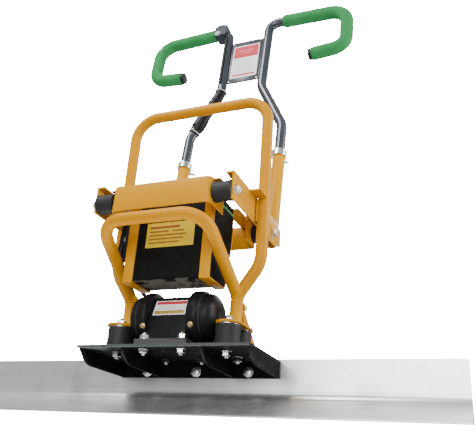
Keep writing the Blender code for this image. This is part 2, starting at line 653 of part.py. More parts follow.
def build_battery():
    lift = add_empty("axis_battery", (0, (BOX_FRONT + BOX_REAR) / 2, BOX_LOW))
    outer = [(BOX_FRONT, BOX_LOW), (BOX_REAR_LOW, BOX_LOW), (BOX_REAR, BOX_STEP), (BOX_REAR, BOX_TOP)]
    outer += [(BOX_FRONT, BOX_TOP)]
    bm = bmesh.new()
    prism(bm, outer, "X", -BOX_HALF, BOX_HALF)
    case = add_object("battery_box", bm, "black_plastic", lift)
    t = 0.003
    inner = [(BOX_FRONT + t, BOX_LOW + t), (BOX_REAR_LOW - t, BOX_LOW + t), (BOX_REAR - t, BOX_STEP)]
    inner += [(BOX_REAR - t, BOX_TOP + 0.01), (BOX_FRONT + t, BOX_TOP + 0.01)]
    bm = bmesh.new()
    prism(bm, inner, "X", -BOX_HALF + t, BOX_HALF - t)
    boolean(case, add_cutter("cut_battery_box", bm, lift), "DIFFERENCE")
    bm = bmesh.new()
    box(bm, (-0.088, 0.088), (BOX_FRONT + 0.006, BOX_REAR_LOW - 0.006), (BOX_LOW + t + GAP, 0.385))
    add_object("battery_pack", bm, "grey_plastic", lift)
    bm = bmesh.new()
    pod = [(-0.170, 0.302), (-0.158, 0.302), (-0.145, 0.325), (-0.145, 0.385), (-0.170, 0.385)]
    prism(bm, pod, "X", -BOX_HALF - 0.021, -BOX_HALF - GAP)
    add_object("battery_socket", bm, "black_plastic", lift)
    bm = bmesh.new()
    seal_x = BOX_HALF + 0.0015
    box(bm, (-seal_x, seal_x), (BOX_FRONT, BOX_REAR), (BOX_TOP + GAP, BOX_TOP + 0.003))
    seal = add_object("battery_seal", bm, "green_plastic", lift)
    bm = bmesh.new()
    box(bm, (-0.088, 0.088), (BOX_FRONT + 0.006, BOX_REAR - 0.006), (BOX_TOP - 0.01, BOX_TOP + 0.02))
    boolean(seal, add_cutter("cut_battery_seal", bm, lift), "DIFFERENCE")
    bm = bmesh.new()
    box(bm, (-BOX_HALF, BOX_HALF), (BOX_FRONT, BOX_REAR), (BOX_TOP + 0.003 + GAP, LID_TOP))
    add_object("battery_lid", bm, "black_plastic", lift)
    bm = bmesh.new()
    top = LID_TOP + GAP
    outside = [(-0.055, top), (-0.050, top + 0.026), (-0.042, top + 0.032), (0.042, top + 0.032)]
    outside += [(0.050, top + 0.026), (0.055, top), (0.043, top), (0.039, top + 0.020)]
    outside += [(0.036, top + 0.022), (-0.036, top + 0.022), (-0.039, top + 0.020), (-0.043, top)]
    prism(bm, outside, "Y", -0.149, -0.129)
    add_object("battery_handle", bm, "black_plastic", lift)


def tube_points(sign):
    """Centre line of one handle tube in the leaning plane, from inside the socket to the hook's end."""
    flat = [(SOCKET_X, 0.500), (SOCKET_X, 0.756), (0.0610, 0.906), (0.0640, 1.1525)]
    flat += [(0.2980, 1.1440), (0.2960, 1.0030), (0.1940, 0.9940)]
    return [lean(sign * x, z) for x, z in flat]


TUBE_RADII = [0.060, 0.060, 0.030, 0.052, 0.040]


def grip_path(sign, start, end):
    """Part of the centre line that the foam covers, from width start round the hook to width end."""
    points = tube_points(sign)
    a = points[3].lerp(points[4], (start - 0.0640) / (0.2980 - 0.0640))
    b = points[5].lerp(points[6], (0.2960 - end) / (0.2960 - 0.1940))
    return round_path([a, points[4], points[5], b], TUBE_RADII[3:], 4)


def build_handle(handle):
    for side, sign in (("left", -1), ("right", 1)):
        path = round_path(tube_points(sign), TUBE_RADII, 4)
        bm = bmesh.new()
        sweep(bm, path, HANDLE_R, HANDLE_R - HANDLE_WALL, side=ACROSS)
        add_object("handle_tube_" + side, bm, "black_paint", handle)
        bm = bmesh.new()
        sweep(bm, grip_path(sign, 0.108, 0.200), GRIP_R, HANDLE_R + GAP, side=ACROSS)
        add_object("grip_" + side, bm, "green_foam", handle)
    centre = lean(0, 1.018)
    turn = Matrix.Translation(centre) @ Matrix.Rotation(-TILT, 4, "X")
    bm = bmesh.new()
    low = [(-0.0455, -0.080), (0.0455, -0.080), (0.0480, 0.080), (-0.0480, 0.080)]
    prism(bm, low, "Y", -0.0015, 0.0015)
    bmesh.ops.transform(bm, matrix=turn, verts=bm.verts)
    add_object("handle_plate", bm, "black_paint", handle)
    points = tube_points(-1)
    solid = round_path(points, TUBE_RADII, 4)
    centre = lean(-0.0865, 1.1500)
    turn = Matrix.Translation(centre) @ Matrix.Rotation(-TILT, 4, "X")
    outline = [(-0.0205, -0.014), (-0.014, -0.021), (0.014, -0.021), (0.0205, -0.014)]
    outline += [(0.0205, 0.014), (0.014, 0.021), (-0.014, 0.021), (-0.0205, 0.014)]
    bm = bmesh.new()
    prism(bm, outline, "Y", -0.021, 0.019)
    bmesh.ops.transform(bm, matrix=turn, verts=bm.verts)
    block = add_object("switch_block", bm, "black_plastic", handle)
    bm = bmesh.new()
    sweep(bm, solid, HANDLE_R + GAP, side=ACROSS)
    boolean(block, add_cutter("cut_switch_tube", bm, handle), "DIFFERENCE")
    out = turn.to_3x3() @ Vector((0, -1, 0))
    at = centre + turn.to_3x3() @ Vector((-0.0100, 0, -0.0130))
    bm = bmesh.new()
    spindle(bm, at, out, [(0.0150, 0.0063, "round"), (0.0300, 0.0063, "round")], 12)
    boolean(block, add_cutter("cut_button", bm, handle), "DIFFERENCE")
    press = add_empty("axis_button", at)
    bm = bmesh.new()
    sections = [(0.0185, 0.0060, "round"), (0.0235, 0.0060, "round"), (0.0245, 0.0050, "round")]
    spindle(bm, at, out, sections, 12)
    add_object("start_button", bm, "grey_plastic", press)
    up = turn.to_3x3() @ Vector((0, 0, 1))
    knob_at = centre + turn.to_3x3() @ Vector((0, -0.004, 0.021 + GAP))
    knob = add_empty("axis_knob", knob_at)
    bm = bmesh.new()
    sections = [(0, 0.0110, "round"), (0.0015, 0.0120, "round"), (0.0085, 0.0110, "round")]
    sections += [(0.0100, 0.0095, "round")]
    spindle(bm, knob_at, up, sections, 16)
    add_object("speed_knob", bm, "black_plastic", knob)
    build_cable(handle)


def build_cable(handle):
    """Control cable along the front of the left tube, from the switch block down to the bend."""
    front = -Vector(ACROSS)
    away = HANDLE_R + GAP + 0.0025 + 0.0002
    route = []
    for z in [1.1240 - 0.0095 * i for i in range(21)]:
        share = (z - 0.906) / (1.1525 - 0.906)
        route.append(lean(-(0.0610 + 0.0030 * share), z) + front * away)
    bm = bmesh.new()
    sweep(bm, route, 0.0025, None, 8)
    add_object("control_cable", bm, "black_plastic", handle)


def build_stand():
    pivot = Vector((0, STAND_Y, STAND_Z))
    stand = add_empty("axis_stand", pivot)
    d = Vector(STAND_DIR).normalized()
    n = Vector((-d.y, d.x))
    outline = []
    for i in range(7):
        angle = math.pi / 2 + math.pi * i / 6
        outline.append(d * 0.0095 * math.cos(angle) + n * 0.0095 * math.sin(angle))
    for i in range(7):
        angle = -math.pi / 2 + math.pi * i / 6
        outline.append(d * (STAND_LEN + 0.0085 * math.cos(angle)) + n * 0.0085 * math.sin(angle))
    outline = [(p.x + STAND_Y, p.y + STAND_Z) for p in outline]
    bm = bmesh.new()
    for sign in (-1, 1):
        prism(bm, outline, "X", *sorted((sign * (LEG_X - 0.003), sign * (LEG_X + 0.003))))
    bar = add_object("park_stand", bm, "yellow_paint", stand)
    foot = Vector((0, STAND_Y + d.x * STAND_LEN, STAND_Z + d.y * STAND_LEN))
    half = Vector((LEG_X, 0, 0))
    bm = bmesh.new()
    sweep(bm, [foot - half, foot + half], 0.0075)
    boolean(bar, add_cutter("join_crossbar", bm, stand), "UNION")
    sections = [(-0.0130, 0.0052, "round"), (-0.0085, 0.0052, "round"), (-0.0084, 0.0031, "round")]
    sections += [(0.0084, 0.0031, "round"), (0.0085, 0.0052, "round"), (0.0130, 0.0052, "round")]
    bm = bmesh.new()
    for sign in (-1, 1):
        spindle(bm, (sign * LEG_X, STAND_Y, STAND_Z), (1, 0, 0), sections)
    boolean(bar, add_cutter("join_pins", bm, stand), "UNION")


def main():
    clear_scene()
    frame = add_empty("axis_frame", (0, LEG_Y, FOOT_LOW))
    cradle = add_empty("place_cradle", (0, -0.11, BUSH_Z))
    handle = add_empty("axis_handle", lean(0, SOCKET_LOW))
    build_blade()
    build_base()
    build_isolators()
    build_motor()
    build_rotor()
    build_feet(frame)
    build_hoops(frame)
    for side, sign in (("left", -1), ("right", 1)):
        build_side(frame, side, sign)
        build_collar(frame, side, sign)
    build_wing_bolts()
    build_cradle(cradle)
    build_battery()
    build_handle(handle)
    build_stand()
    bpy.context.view_layer.update()


main()
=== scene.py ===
import math
import random

import bmesh
import bpy
from mathutils import Matrix, Vector


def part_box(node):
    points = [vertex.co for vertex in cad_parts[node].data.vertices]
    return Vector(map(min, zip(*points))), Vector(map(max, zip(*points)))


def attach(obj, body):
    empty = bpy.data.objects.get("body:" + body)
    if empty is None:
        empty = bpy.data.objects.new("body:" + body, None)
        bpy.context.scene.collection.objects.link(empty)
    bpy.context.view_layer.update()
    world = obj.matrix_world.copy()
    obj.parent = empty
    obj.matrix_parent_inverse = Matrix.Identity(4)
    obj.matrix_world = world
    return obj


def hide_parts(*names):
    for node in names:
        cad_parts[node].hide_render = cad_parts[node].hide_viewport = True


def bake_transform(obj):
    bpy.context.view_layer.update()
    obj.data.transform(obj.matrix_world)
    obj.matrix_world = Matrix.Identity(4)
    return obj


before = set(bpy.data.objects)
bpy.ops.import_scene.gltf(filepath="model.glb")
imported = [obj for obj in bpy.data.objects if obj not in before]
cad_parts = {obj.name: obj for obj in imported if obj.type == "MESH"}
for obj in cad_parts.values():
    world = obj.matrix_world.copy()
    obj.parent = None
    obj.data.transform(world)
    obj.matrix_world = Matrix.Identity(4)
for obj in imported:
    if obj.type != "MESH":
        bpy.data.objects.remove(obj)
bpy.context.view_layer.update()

SIDES = (("left", -1), ("right", 1))
# Handle plane: its lean, as run over rise, and the way across it
LEAN = 0.135
TILT = math.atan(LEAN)
ACROSS = Vector((0, math.cos(TILT), -math.sin(TILT)))
# Sizes and places in metres, as in the CAD
TUBE_R = 0.01275
TUBE_BORE = 0.01075
HANDLE_R = 0.0137
GRIP_R = 0.0185
SOCKET_X = 0.1335
TUBE_RADII = [0.06, 0.06, 0.03, 0.052, 0.04]
BLADE_HALF = 0.545
FLANGE_BOLT_X = (-0.118, 0.0, 0.118)
FLANGE_BOLT_Z = 0.102
MOUNT_X = 0.12
MOUNT_Y = (-0.133, -0.075)
MOTOR_AT = Vector((-0.004, -0.11, 0.19))
STAND_PIVOT = Vector((0, -0.08, 0.2165))

# Camera solved from the photo
LENS = 45.35
CAMERA_AT = (0.5679, -1.1778, -0.0969)
CAMERA_RIGHT = Vector((0.9291, 0.3642, 0.0645))
CAMERA_BACK = Vector((0.35921, -0.84714, -0.39158))
WHITE = (1.0, 1.0, 1.0, 1.0)
WORLD_LIGHT = 0.5
BACKDROP_LIGHT = 30.0
# Name, place, target, size and power of each area light
LIGHTS = (
    ("key", (-0.9, -1.5, 2.8), (0, 0, 0.5), (1.0, 1.0), 88),
    ("front", (0.9, -2.4, 1.1), (0, 0, 0.4), (0.9, 1.3), 34),
    ("blade_box", (0.15, -1.9, 0.4), (0.3, 0, 0.1), (0.9, 0.6), 12),
    ("side", (2.2, 0.5, 1.3), (0, 0, 0.5), (0.8, 1.6), 60),
    ("rim", (0.2, 2.0, 1.9), (0, 0, 0.6), (1.6, 1.2), 20),
)


def lean(x, z):
    """Point of the leaning handle plane at width x and height z."""
    return Vector((x, 0.084 + LEAN * (z - 0.664), z))


# Camera, lights and floor

def set_camera():
    data = bpy.data.cameras.new("camera")
    data.sensor_width = 36.0
    data.lens = LENS
    data.clip_end = 50.0
    obj = bpy.data.objects.new("camera", data)
    back = CAMERA_BACK.normalized()
    up = back.cross(CAMERA_RIGHT.normalized()).normalized()
    turn = Matrix((up.cross(back), up, back)).transposed().to_4x4()
    obj.matrix_world = Matrix.Translation(CAMERA_AT) @ turn
    bpy.context.scene.collection.objects.link(obj)
    bpy.context.scene.camera = obj


def add_light(name, location, target, size, energy):
    data = bpy.data.lights.new(name, "AREA")
    data.shape = "RECTANGLE"
    data.size, data.size_y = size
    data.energy = energy
    obj = bpy.data.objects.new(name, data)
    obj.location = location
    obj.rotation_euler = (Vector(target) - Vector(location)).to_track_quat("-Z", "Y").to_euler()
    bpy.context.scene.collection.objects.link(obj)


def set_world():
    """Even studio light around the object, with a plain white backdrop."""
    world = bpy.data.worlds.new("studio")
    bpy.context.scene.world = world
    world.use_nodes = True
    tree = world.node_tree
    around = tree.nodes["Background"]
    around.inputs["Color"].default_value = WHITE
    around.inputs["Strength"].default_value = WORLD_LIGHT
    backdrop = add_node(tree, "Background", {"Color": WHITE, "Strength": BACKDROP_LIGHT})
    seen = add_node(tree, "LightPath", {}).outputs["Is Camera Ray"]
    mix = add_node(tree, "MixShader", {"Fac": seen, 1: around.outputs[0], 2: backdrop.outputs[0]})
    tree.links.new(mix.outputs["Shader"], tree.nodes["World Output"].inputs["Surface"])


def stage_block(name, x, y, z, mat):
    bm = bmesh.new()
    block(bm, x, y, z)
    bmesh.ops.recalc_face_normals(bm, faces=bm.faces)
    obj = new_object(name, bm)
    obj.data.materials.append(mat)


def set_stage():
    """Pale floor with a lit front edge, so that no dark line crosses the picture, and soft area lights."""
    set_world()
    plain = new_material("floor", (0.86, 0.86, 0.85), 0.6, noise=(6.0, 0.02))
    lit = new_material("floor_front", (0.9, 0.9, 0.9), 0.6, noise=(6.0, 0.02))
    shader = lit.node_tree.nodes["Principled BSDF"]
    shader.inputs["Emission Color"].default_value = WHITE
    shader.inputs["Emission Strength"].default_value = BACKDROP_LIGHT
    stage_block("floor", (-3.5, 3.5), (-0.145, 2.75), (-0.1006, -0.0006), plain)
    stage_block("floor_front", (-3.5, 3.5), (-0.146, -0.1452), (-0.1006, -0.0012), lit)
    for light in LIGHTS:
        add_light(*light)


# Materials

def add_node(tree, kind, inputs, **settings):
    """New shader node; an input given as another node's output is linked, any other is set."""
    node = tree.nodes.new("ShaderNode" + kind)
    for key, value in settings.items():
        setattr(node, key, value)
    for key, value in inputs.items():
        if isinstance(value, bpy.types.NodeSocket):
            tree.links.new(value, node.inputs[key])
        else:
            node.inputs[key].default_value = value
    return node


def add_ramp(tree, factor, low, high, colours=()):
    """Colour ramp between two positions, from black to white unless colours are given."""
    node = add_node(tree, "ValToRGB", {"Fac": factor})
    stops = node.color_ramp.elements
    stops[0].position = low
    stops[1].position = high
    for stop, colour in zip(stops, colours):
        stop.color = colour
    return node.outputs["Color"]


def mix_colours(tree, factor, under, over):
    mix = add_node(tree, "Mix", {}, data_type="RGBA")
    tree.links.new(factor, mix.inputs["Factor"])
    tree.links.new(under, mix.inputs["A"])
    mix.inputs["B"].default_value = (*over, 1.0)
    return mix.outputs["Result"]


def new_material(name, colour, rough, noise, metal=0.0, bump=None, rough_var=0.0, coat=0.0, wear=None,
                 stretch=(1, 1, 1), spec=0.5):
    """Principled material in object space: colour and roughness variation, fine bump and edge wear."""
    mat = bpy.data.materials.new(name)
    mat.use_nodes = True
    mat.diffuse_color = (*colour, 1.0)
    tree = mat.node_tree
    shader = tree.nodes["Principled BSDF"]
    for key, value in (("Metallic", metal), ("Roughness", rough), ("Specular IOR Level", spec),
                       ("Coat Weight", coat), ("Coat Roughness", 0.12)):
        shader.inputs[key].default_value = value
    coords = add_node(tree, "TexCoord", {}).outputs["Object"]
    space = add_node(tree, "Mapping", {"Vector": coords, "Scale": stretch}).outputs["Vector"]
    scale, amount = noise
    grain = add_node(tree, "TexNoise", {"Vector": space, "Scale": scale, "Detail": 6.0, "Roughness": 0.6})
    grain = grain.outputs["Fac"]
    tones = [tuple(min(1, c * share) for c in colour) + (1,) for share in (1 - amount, 1 + amount)]
    paint = add_ramp(tree, grain, 0.3, 0.7, tones)
    if wear:
        edge = add_node(tree, "NewGeometry", {}).outputs["Pointiness"]
        worn = add_ramp(tree, edge, wear[1], min(1.0, wear[1] + 0.06))
        paint = mix_colours(tree, worn, paint, wear[0])
    tree.links.new(paint, shader.inputs["Base Color"])
    if rough_var:
        low, high = max(0.05, rough - rough_var), min(1.0, rough + rough_var)
        spread = add_node(tree, "MapRange", {"Value": grain, "To Min": low, "To Max": high})
        tree.links.new(spread.outputs["Result"], shader.inputs["Roughness"])
    if bump:
        fine = add_node(tree, "TexNoise", {"Vector": space, "Scale": bump[0], "Detail": 3.0}).outputs["Fac"]
        lift = add_node(tree, "Bump", {"Height": fine, "Strength": bump[1], "Distance": 0.0006})
        tree.links.new(lift.outputs["Normal"], shader.inputs["Normal"])
    return mat


def patch(mat, colour, scale, low, high, axis=None):
    """Blends blotches of another colour over a material, on all faces or only on those that face an axis."""
    tree = mat.node_tree
    base = tree.nodes["Principled BSDF"].inputs["Base Color"]
    coords = add_node(tree, "TexCoord", {}).outputs["Object"]
    blot = add_node(tree, "TexNoise", {"Vector": coords, "Scale": scale, "Detail": 8.0, "Roughness": 0.65})
    factor = add_ramp(tree, blot.outputs["Fac"], low, high)
    if axis:
        normal = add_node(tree, "NewGeometry", {}).outputs["True Normal"]
        facing = add_node(tree, "VectorMath", {0: normal, 1: axis}, operation="DOT_PRODUCT").outputs["Value"]
        gate = add_node(tree, "Math", {0: facing, 1: 0.9}, operation="GREATER_THAN").outputs["Value"]
        factor = add_node(tree, "Math", {0: factor, 1: gate}, operation="MULTIPLY").outputs["Value"]
    tree.links.new(mix_colours(tree, factor, base.links[0].from_socket, colour), base)


# Name, slot, colour, roughness and further settings of each material
MATERIALS = {
    "yellow": ("yellow_coat", "yellow_paint", (0.57, 0.24, 0.0), 0.34,
        dict(noise=(7.0, 0.06), bump=(420.0, 0.12), rough_var=0.08, wear=((0.68, 0.34, 0.0), 0.54),
             spec=0.1)),
    "black": ("black_coat", "black_paint", (0.006, 0.006, 0.0062), 0.5,
        dict(noise=(30.0, 0.3), bump=(500.0, 0.2), rough_var=0.1, wear=((0.07, 0.08, 0.08), 0.53),
             spec=0.05)),
    "motor": ("motor_coat", "black_paint", (0.01, 0.01, 0.0104), 0.4,
        dict(noise=(40.0, 0.3), bump=(260.0, 0.3), rough_var=0.1, wear=((0.07, 0.07, 0.068), 0.55),
             spec=0.12)),
    "tube": ("handle_coat", "black_paint", (0.034, 0.041, 0.052), 0.25,
        dict(noise=(25.0, 0.15), bump=(420.0, 0.06), rough_var=0.06, coat=0.12)),
    "alu": ("extruded_aluminium", "extrusion", (0.8, 0.81, 0.81), 0.3,
        dict(metal=0.9, noise=(14.0, 0.06), bump=(160.0, 0.22), rough_var=0.08, stretch=(0.05, 1.0, 1.0))),
    "steel": ("zinc_steel", "zinc_steel", (0.78, 0.78, 0.75), 0.26,
        dict(metal=1.0, noise=(60.0, 0.12), bump=(300.0, 0.1), rough_var=0.1)),
    "brass": ("brass_screw", None, (0.78, 0.58, 0.28), 0.3,
        dict(metal=1.0, noise=(80.0, 0.15), rough_var=0.1)),
    "rubber": ("mount_rubber", "mount_rubber", (0.014, 0.014, 0.015), 0.6,
        dict(noise=(60.0, 0.2), bump=(350.0, 0.35), rough_var=0.12, spec=0.3)),
    "plastic": ("black_plastic", "black_plastic", (0.01, 0.01, 0.01), 0.5,
        dict(noise=(50.0, 0.2), bump=(700.0, 0.35), rough_var=0.06, spec=0.25)),
    "foam": ("green_foam", "green_foam", (0.034, 0.235, 0.07), 0.8,
        dict(noise=(24.0, 0.12), bump=(1400.0, 0.9), rough_var=0.08, spec=0.1)),
    "seal": ("green_seal", "green_seal", (0.16, 0.66, 0.22), 0.5,
        dict(noise=(30.0, 0.1), bump=(500.0, 0.2))),
    "grey": ("grey_plastic", "grey_plastic", (0.42, 0.44, 0.47), 0.45,
        dict(noise=(40.0, 0.08), bump=(600.0, 0.2))),
    "dark_grey": ("switch_plastic", "black_plastic", (0.034, 0.042, 0.054), 0.5,
        dict(noise=(40.0, 0.15), bump=(600.0, 0.3), rough_var=0.06, spec=0.15)),
    "white": ("white_nylon", None, (0.85, 0.85, 0.84), 0.4, dict(noise=(40.0, 0.04), bump=(500.0, 0.1))),
    "tape": ("black_tape", None, (0.008, 0.008, 0.009), 0.42,
        dict(noise=(60.0, 0.25), bump=(300.0, 0.25), rough_var=0.1, spec=0.2)),
    "sheet": ("label_white", None, (0.9, 0.9, 0.92), 0.5, dict(noise=(60.0, 0.03), spec=0.12)),
    "red": ("label_red", None, (0.6, 0.036, 0.055), 0.5, dict(noise=(50.0, 0.08), spec=0.12)),
    "pale_red": ("label_pale_red", None, (0.78, 0.24, 0.28), 0.5, dict(noise=(50.0, 0.06), spec=0.12)),
    "pale_grey": ("label_grey", None, (0.48, 0.5, 0.55), 0.5, dict(noise=(50.0, 0.08), spec=0.12)),
    "label": ("label_yellow", None, (0.66, 0.46, 0.008), 0.4, dict(noise=(50.0, 0.08), coat=0.1, spec=0.3)),
    "ink": ("label_ink", None, (0.26, 0.06, 0.008), 0.5, dict(noise=(50.0, 0.1), spec=0.3)),
    "gold": ("label_gold", None, (0.46, 0.3, 0.05), 0.35, dict(metal=0.3, noise=(50.0, 0.1))),
    "copper": ("copper_winding", "winding", (0.7, 0.33, 0.16), 0.35,
        dict(metal=1.0, noise=(120.0, 0.25), bump=(220.0, 0.6), stretch=(3.0, 1.0, 1.0))),
    "iron": ("weight_iron", "weight_iron", (0.22, 0.22, 0.22), 0.5,
        dict(metal=0.9, noise=(60.0, 0.2), bump=(200.0, 0.3))),
    "box": ("battery_case", "black_plastic", (0.006, 0.006, 0.0057), 0.52,
        dict(noise=(50.0, 0.3), bump=(600.0, 0.4), rough_var=0.08, wear=((0.05, 0.05, 0.045), 0.56),
             spec=0.05)),
}
MAT = {}


def make_materials():
    for key, (name, _, colour, rough, more) in MATERIALS.items():
        MAT[key] = new_material(name, colour, rough, **more)
    # Lighter grey-tan blotches on the box's downward-facing faces: painted light from below, mixed with wear
    patch(MAT["box"], (0.2, 0.19, 0.15), 26.0, 0.44, 0.53, axis=(0, 0, -1))
    patch(MAT["alu"], (0.5, 0.5, 0.49), 9.0, 0.52, 0.78)


# Mesh helpers

def new_object(name, bm):
    mesh = bpy.data.meshes.new(name)
    bm.to_mesh(mesh)
    bm.free()
    obj = bpy.data.objects.new(name, mesh)
    bpy.context.scene.collection.objects.link(obj)
    return obj


def apply_modifiers(obj):
    old = obj.data
    done = bpy.data.meshes.new_from_object(obj.evaluated_get(bpy.context.evaluated_depsgraph_get()))
    obj.modifiers.clear()
    obj.data = done
    bpy.data.meshes.remove(old)


def finish_mesh(bm, name, mat, body, nodes=None, sharp=38, bevel=0.0, segments=2):
    """Piece from a mesh in world coordinates, riding on a body unless it's to be blended.

    nodes lists the CAD nodes it replaces.
    """
    bmesh.ops.recalc_face_normals(bm, faces=bm.faces)
    obj = new_object(name, bm)
    if bevel:
        mod = obj.modifiers.new("edges", "BEVEL")
        mod.width = bevel
        mod.segments = segments
        mod.limit_method = "ANGLE"
        mod.angle_limit = math.radians(34)
        apply_modifiers(obj)
    obj.data.shade_smooth()
    obj.data.set_sharp_from_angle(angle=math.radians(sharp))
    obj.data.materials.append(MAT[mat])
    if body:
        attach(obj, body)
    if nodes:
        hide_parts(*nodes)
    return obj


def refine(node, mat, body, bevel, segments):
    """Copies a CAD node's solid, clears its flat faces of extra edges and rounds its sharp ones."""
    bm = bmesh.new()
    bm.from_mesh(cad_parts[node].data)
    bmesh.ops.remove_doubles(bm, verts=bm.verts, dist=2e-6)
    bmesh.ops.dissolve_limit(bm, angle_limit=math.radians(1.0), verts=bm.verts, edges=bm.edges)
    finish_mesh(bm, node + "_form", mat, body, [node], bevel=bevel, segments=segments)


def axes_for(direction):
    along = Vector(direction).normalized()
    helper = Vector((0, 0, 1)) if abs(along.z) < 0.9 else Vector((1, 0, 0))
    side = helper.cross(along).normalized()
    return along, side, along.cross(side)


def circle(centre, side, up, radius, count, spin=0.0):
    """Points round a centre; the radius is a number or a function of the angle."""
    points = []
    for i in range(count):
        angle = math.tau * i / count
        size = radius(angle) if callable(radius) else radius
        points.append(centre + (side * math.cos(angle + spin) + up * math.sin(angle + spin)) * size)
    return points


def bridge(bm, a, b):
    count = len(a)
    for i in range(count):
        j = (i + 1) % count
        bm.faces.new((a[i], a[j], b[j], b[i]))


def capped(bm, rings):
    """Closed form through rings of points."""
    rings = [[bm.verts.new(p) for p in ring] for ring in rings]
    bm.faces.new(rings[0])
    bm.faces.new(list(reversed(rings[-1])))
    for a, b in zip(rings, rings[1:]):
        bridge(bm, a, b)


def turned(bm, origin, direction, profile, steps):
    """Closed turned form from (distance, radius) points; a radius of zero makes a pole."""
    along, side, up = axes_for(direction)
    rings = []
    for t, radius in profile:
        centre = Vector(origin) + along * t
        points = circle(centre, side, up, radius, steps) if radius > 0 else [centre]
        rings.append([bm.verts.new(p) for p in points])
    pairs = list(zip(rings, rings[1:]))
    if len(rings[0]) > 1 and len(rings[-1]) > 1:
        pairs.append((rings[-1], rings[0]))
    for a, b in pairs:
        if len(a) > 1 and len(b) > 1:
            bridge(bm, a, b)
        elif len(a) > 1 or len(b) > 1:
            pole, ring = (a[0], b) if len(a) == 1 else (b[0], a)
            for i in range(steps):
                bm.faces.new((pole, ring[i], ring[(i + 1) % steps]))


def drill(bm, start, direction, radius, depth):
    turned(bm, start, direction, [(0, 0.0), (0, radius), (depth, radius), (depth, 0.0)], 24)


def hexagon(bm, origin, direction, half, low, high, dome=0.0, spin=0.0):
    """Hexagonal head between two distances along an axis, with chamfered corners and a domed or flat top."""
    along, side, up = axes_for(direction)
    third = math.pi / 3

    def flats(angle):
        return half / math.cos((angle + third / 2) % third - third / 2)

    chamfer = (half / math.cos(third / 2) - half) * 0.8
    sections = [(low, flats), (high - chamfer * 0.6, flats), (high, half * 0.93)]
    if dome:
        sections += [(high + dome * 0.45, half * 0.8), (high + dome * 0.8, half * 0.52),
            (high + dome, half * 0.2)]
    capped(bm, [circle(Vector(origin) + along * t, side, up, radius, 24, spin) for t, radius in sections])


def washer(bm, origin, direction, low, high, outer, inner=0.0052):
    edge = min(0.0004, (high - low) * 0.3)
    turned(bm, origin, direction, [(low, inner), (low, outer - edge), (low + edge, outer),
        (high - edge, outer), (high, outer - edge), (high, inner)], 36)


def stud(bm, origin, direction, low, high, radius, pitch=0.0015):
    """Threaded rod drawn as fine rings, with a chamfered end."""
    profile = [(low, 0.0), (low, radius * 0.9)]
    t = low
    while t + pitch < high - pitch:
        profile += [(t + pitch * 0.25, radius * 0.9), (t + pitch * 0.5, radius), (t + pitch * 0.75, radius)]
        t += pitch
    profile += [(high - pitch, radius * 0.95), (high, radius * 0.75), (high, 0.0)]
    turned(bm, origin, direction, profile, 20)


def round_path(points, radii, steps):
    points = [Vector(p) for p in points]
    path = [points[0]]
    for i in range(1, len(points) - 1):
        corner = points[i]
        a = (points[i - 1] - corner).normalized()
        b = (points[i + 1] - corner).normalized()
        half = a.angle(b) / 2
        radius = radii[i - 1]
        reach = radius / math.tan(half)
        centre = corner + (a + b).normalized() * radius / math.sin(half)
        start = corner + a * reach - centre
        end = corner + b * reach - centre
        sweep_angle = start.angle(end)
        normal = start.cross(end).normalized()
        for k in range(steps + 1):
            path.append(centre + Matrix.Rotation(sweep_angle * k / steps, 3, normal) @ start)
    path.append(points[-1])
    return path


def path_frames(path):
    tangents = []
    for i in range(len(path)):
        a = path[max(i - 1, 0)]
        b = path[min(i + 1, len(path) - 1)]
        tangents.append(((path[i] - a).normalized() + (b - path[i]).normalized()).normalized())
    side = axes_for(tangents[0])[1]
    frames = []
    for tangent in tangents:
        side = (side - tangent * side.dot(tangent)).normalized()
        frames.append((tangent, side, tangent.cross(side)))
    return frames


def swept(bm, path, radius, sides, inner=None):
    """Round bar or open tube along a path; the outer radius is a number or a list with one for each point."""
    frames = path_frames(path)

    def skin(sizes):
        rings = []
        for point, size, (_, side, up) in zip(path, sizes, frames):
            rings.append([bm.verts.new(p) for p in circle(point, side, up, size, sides)])
        for a, b in zip(rings, rings[1:]):
            bridge(bm, a, b)
        return rings

    outside = skin(radius if isinstance(radius, list) else [radius] * len(path))
    if inner is None:
        bm.faces.new(outside[0])
        bm.faces.new(list(reversed(outside[-1])))
        return
    inside = skin([inner] * len(path))
    bridge(bm, outside[0], inside[0])
    bridge(bm, outside[-1], inside[-1])


def even_path(path, step):
    """Points at an even spacing along a path."""
    out = [path[0]]
    left = step
    for a, b in zip(path, path[1:]):
        length = (b - a).length
        at = left
        while at < length:
            out.append(a.lerp(b, at / length))
            at += step
        left = at - length
    if (out[-1] - path[-1]).length > step * 0.3:
        out.append(path[-1])
    else:
        out[-1] = path[-1]
    return out


def prism(bm, outline, axis, low, high):
    place = {
        "X": lambda p, t: Vector((t, p[0], p[1])),
        "Y": lambda p, t: Vector((p[0], t, p[1])),
        "Z": lambda p, t: Vector((p[0], p[1], t)),
    }[axis]
    first = [bm.verts.new(place(p, low)) for p in outline]
    last = [bm.verts.new(place(p, high)) for p in outline]
    bm.faces.new(first)
    bm.faces.new(list(reversed(last)))
    count = len(outline)
    for i in range(count):
        j = (i + 1) % count
        bm.faces.new((first[j], first[i], last[i], last[j]))


def block(bm, x, y, z):
    prism(bm, [(x[0], y[0]), (x[1], y[0]), (x[1], y[1]), (x[0], y[1])], "Z", z[0], z[1])


def lumpy_bead(bm, points, radius, seed, ends=None):
    """Weld bead along points, with ends of their own radius where it's given."""
    rng = random.Random(seed)
    path = even_path([Vector(p) for p in points], 0.0022)
    radii = [radius * (0.75 + 0.35 * abs(math.sin(k * 1.4)) + 0.1 * rng.random()) for k in range(len(path))]
    if ends:
        radii[0] = radii[-1] = ends
    swept(bm, path, radii, 8)


def weld_bead(bm, ring, radius, seed):
    lumpy_bead(bm, ring + ring[:1], radius, seed)


def bead_line(bm, a, b, radius, seed):
    lumpy_bead(bm, [a, b], radius, seed, radius * 0.4)


